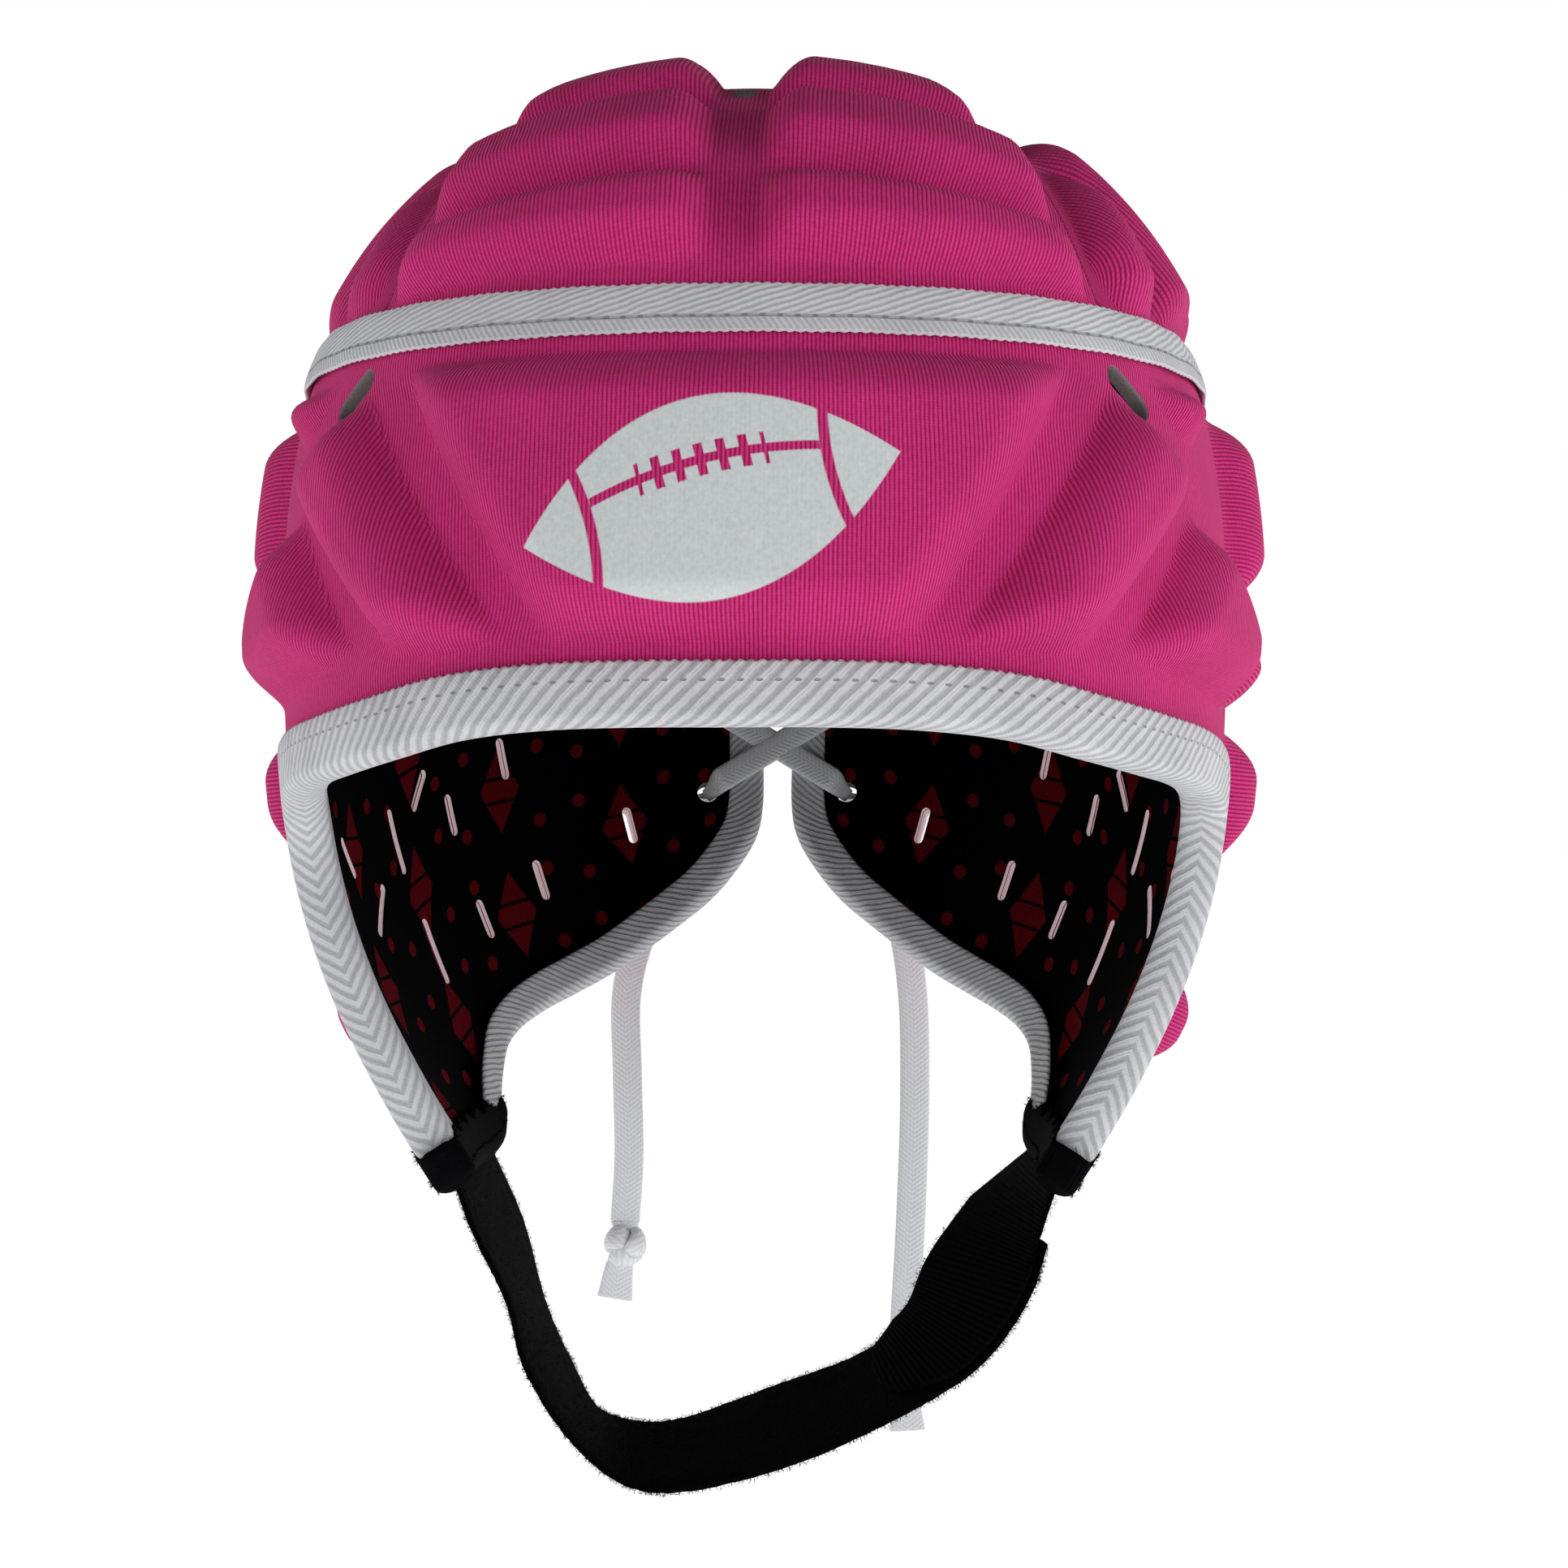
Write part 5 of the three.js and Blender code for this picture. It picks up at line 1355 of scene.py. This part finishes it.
def flap_fold(sign, hand, look):
    """Webbing folded over the whole end of a flap, sewn shut along both of its sides."""
    degrees = np.linspace(FRONT_SEAM_ANGLE - FOLD_PAST[0], FLAP_REAR_ANGLE + FOLD_PAST[1], FOLD_COLUMNS)
    high, low = TAPE_OUTSIDE + FOLD_CLEAR, -INNER_LEG_GAP - TAPE - FOLD_CLEAR
    middle, half = (high + low) / 2, (high - low) / 2
    bend = np.linspace(0, np.pi, 13)
    from_side = np.minimum(np.arange(FOLD_COLUMNS), np.arange(FOLD_COLUMNS)[::-1])
    side = np.clip(from_side / 3, 0, 1)
    close = 0.5 + 0.5 * np.sqrt(1 - (1 - side)**2)
    foot = neck_drop(degrees) + FOLD_FOOT / CAP_DEPTH
    top = HEM_END_DROP - sum(size * np.sin(degrees * rate) for size, rate in FOLD_WAVES) / CAP_DEPTH
    top = np.minimum(top, foot - FOLD_LEAST / CAP_DEPTH)
    legs = np.linspace(0, 1, 9)[:-1]
    share = np.concatenate([legs, np.ones(len(bend)), legs[::-1]])
    dip = np.pad(FOLD_DIP * np.sin(bend), len(legs))
    offset = np.pad(half * np.cos(bend), len(legs), mode="edge")
    drop = top[:, None] + (foot - top)[:, None] * share[None, :] + dip[None, :] / CAP_DEPTH * side[:, None]
    rings = on_band(sign * degrees[:, None], drop, middle + offset[None, :] * close[:, None])
    values = on_threads(lengths(rings[:, 0])[:, None], drop * CAP_DEPTH)
    fold = sleeve(f"flap_fold_{hand}", rings, [look], values)
    hairs = [pile_fibres("fold_hairs", rings[:, a], rings[:, b], 0.0, 0.0, count, look, seed)
             for a, b, count, seed in FOLD_HAIRS]
    return joined(f"fold_{hand}", [fold] + hairs)


def chin_strap():
    """Loop-pile strap from the left flap, under the chin and up outside the hook tab."""
    fronts, backs = strap_edges()
    shares = np.linspace(0, 1, STRAP_ROWS)
    front, back = curve(fronts, shares), curve(backs, shares)
    run = webbing("strap_run", front, back, 0.0, STRAP_THICKNESS, PILE, 0.00009, 3)
    hairs = pile_fibres("strap_hairs", front, back, 0.0, STRAP_THICKNESS, STRAP_HAIRS, PILE, 4)
    strap = joined("strap", [run, flap_fold(-1, "left", PILE), hairs])
    finish_piece(strap, "black_webbing", "chin_strap")


def hook_tab():
    """Hook side of the fastening: over the right flap and down the inside of the strap's end."""
    fronts, backs = strap_edges()
    length = lengths(curve(fronts, np.linspace(0, 1, STRAP_ROWS)))[-1]
    shares = np.linspace(1 - TAB_LENGTH / length, 1, TAB_ROWS)
    lift = STRAP_THICKNESS + 1.5 * CLEARANCE
    front, back = curve(fronts, shares), curve(backs, shares)
    run = lengths(front)
    narrow = 0.5 + 0.5 * np.clip(run / 0.013, 0, 1)**0.6
    narrow *= np.sqrt(1 - (1 - np.clip(run / 0.004 + 0.05, 0, 1))**2)
    middle, reach = (front + back) / 2, (back - front) / 2 * narrow[:, None]
    front, back = middle - reach, middle + reach
    last_front, last_back = fold_corners(1)
    ends = np.linspace(0, 1, 30)[1:, None]
    inward = np.array([lift, 0, 0])
    front = np.vstack([front, front[-1] + (last_front + inward - front[-1]) * ends])
    back = np.vstack([back, back[-1] + (last_back + inward - back[-1]) * ends])
    tab = webbing("tab_run", front, back, lift, STRAP_THICKNESS, HOOKS, 0.00002, 5)
    hairs = pile_fibres("tab_hairs", front, back, lift, STRAP_THICKNESS, TAB_HAIRS, PILE, 6)
    piece = joined("tab", [tab, flap_fold(1, "right", HOOKS), hairs])
    finish_piece(piece, "black_webbing", "hook_tab")


chin_strap()
hook_tab()


# Floor, backdrop and light

FLOOR_DEPTH = -0.36


def plain_floor():
    """Wide pale floor well below the strap and the laces."""
    look = Look("pale_floor", Base_Color=rgb(235, 235, 235), Roughness=0.9,
                Emission_Color=rgb(255, 255, 255), Emission_Strength=0.78)
    points = np.array([(x, y, FLOOR_DEPTH) for x, y in ((-6, -6), (6, -6), (6, 6), (-6, 6))])
    floor = put("floor", points, [np.array([[0, 1, 2, 3]])], [look.material])


def area_light(name, place, aim, size, power):
    """Square soft light that faces a point."""
    data = bpy.data.lights.new(name, "AREA")
    data.size = size
    data.energy = power
    light = bpy.data.objects.new(name, data)
    light.location = place
    light.rotation_euler = (Vector(aim) - Vector(place)).to_track_quat("-Z", "Y").to_euler()
    bpy.context.scene.collection.objects.link(light)


def studio():
    """White room that is dimmer overhead and in front, with soft light from both sides, most from the right.
    What the camera sees of it is plain white."""
    world = bpy.data.worlds.new("studio")
    bpy.context.scene.world = world
    world.use_nodes = True
    background = world.node_tree.nodes["Background"]
    background.inputs["Color"].default_value = (1.0, 1.0, 1.0, 1.0)
    room = Nodes(world.node_tree)
    where = room.node("ShaderNodeTexCoord", output="Generated")
    x, y, z = (room.node("ShaderNodeSeparateXYZ", inputs={0: where}, output=k) for k in range(3))
    overhead = room.step(z, 0.27, 0.5)
    front = room.step(y * -1.0, 0.35, 0.9)
    right, left = room.step(x, 0.15, 0.9), room.step(x * -1.0, 0.15, 0.9)
    light = (1 - overhead * 0.9) * (1 - front * 0.6) * (1 + right * 0.6 + left * 0.15)
    seen = room.node("ShaderNodeLightPath", output="Is Camera Ray")
    room.feed(background.inputs["Strength"], light + seen * (1 - light))
    area_light("key", (-0.85, -0.8, 0.0), aim=(0, 0, -0.1), size=0.45, power=1.2)
    area_light("fill", (0.95, -0.6, -0.1), aim=(0, 0, -0.12), size=0.5, power=2.4)


plain_floor()
studio()
bpy.context.scene.view_settings.view_transform = "Standard"
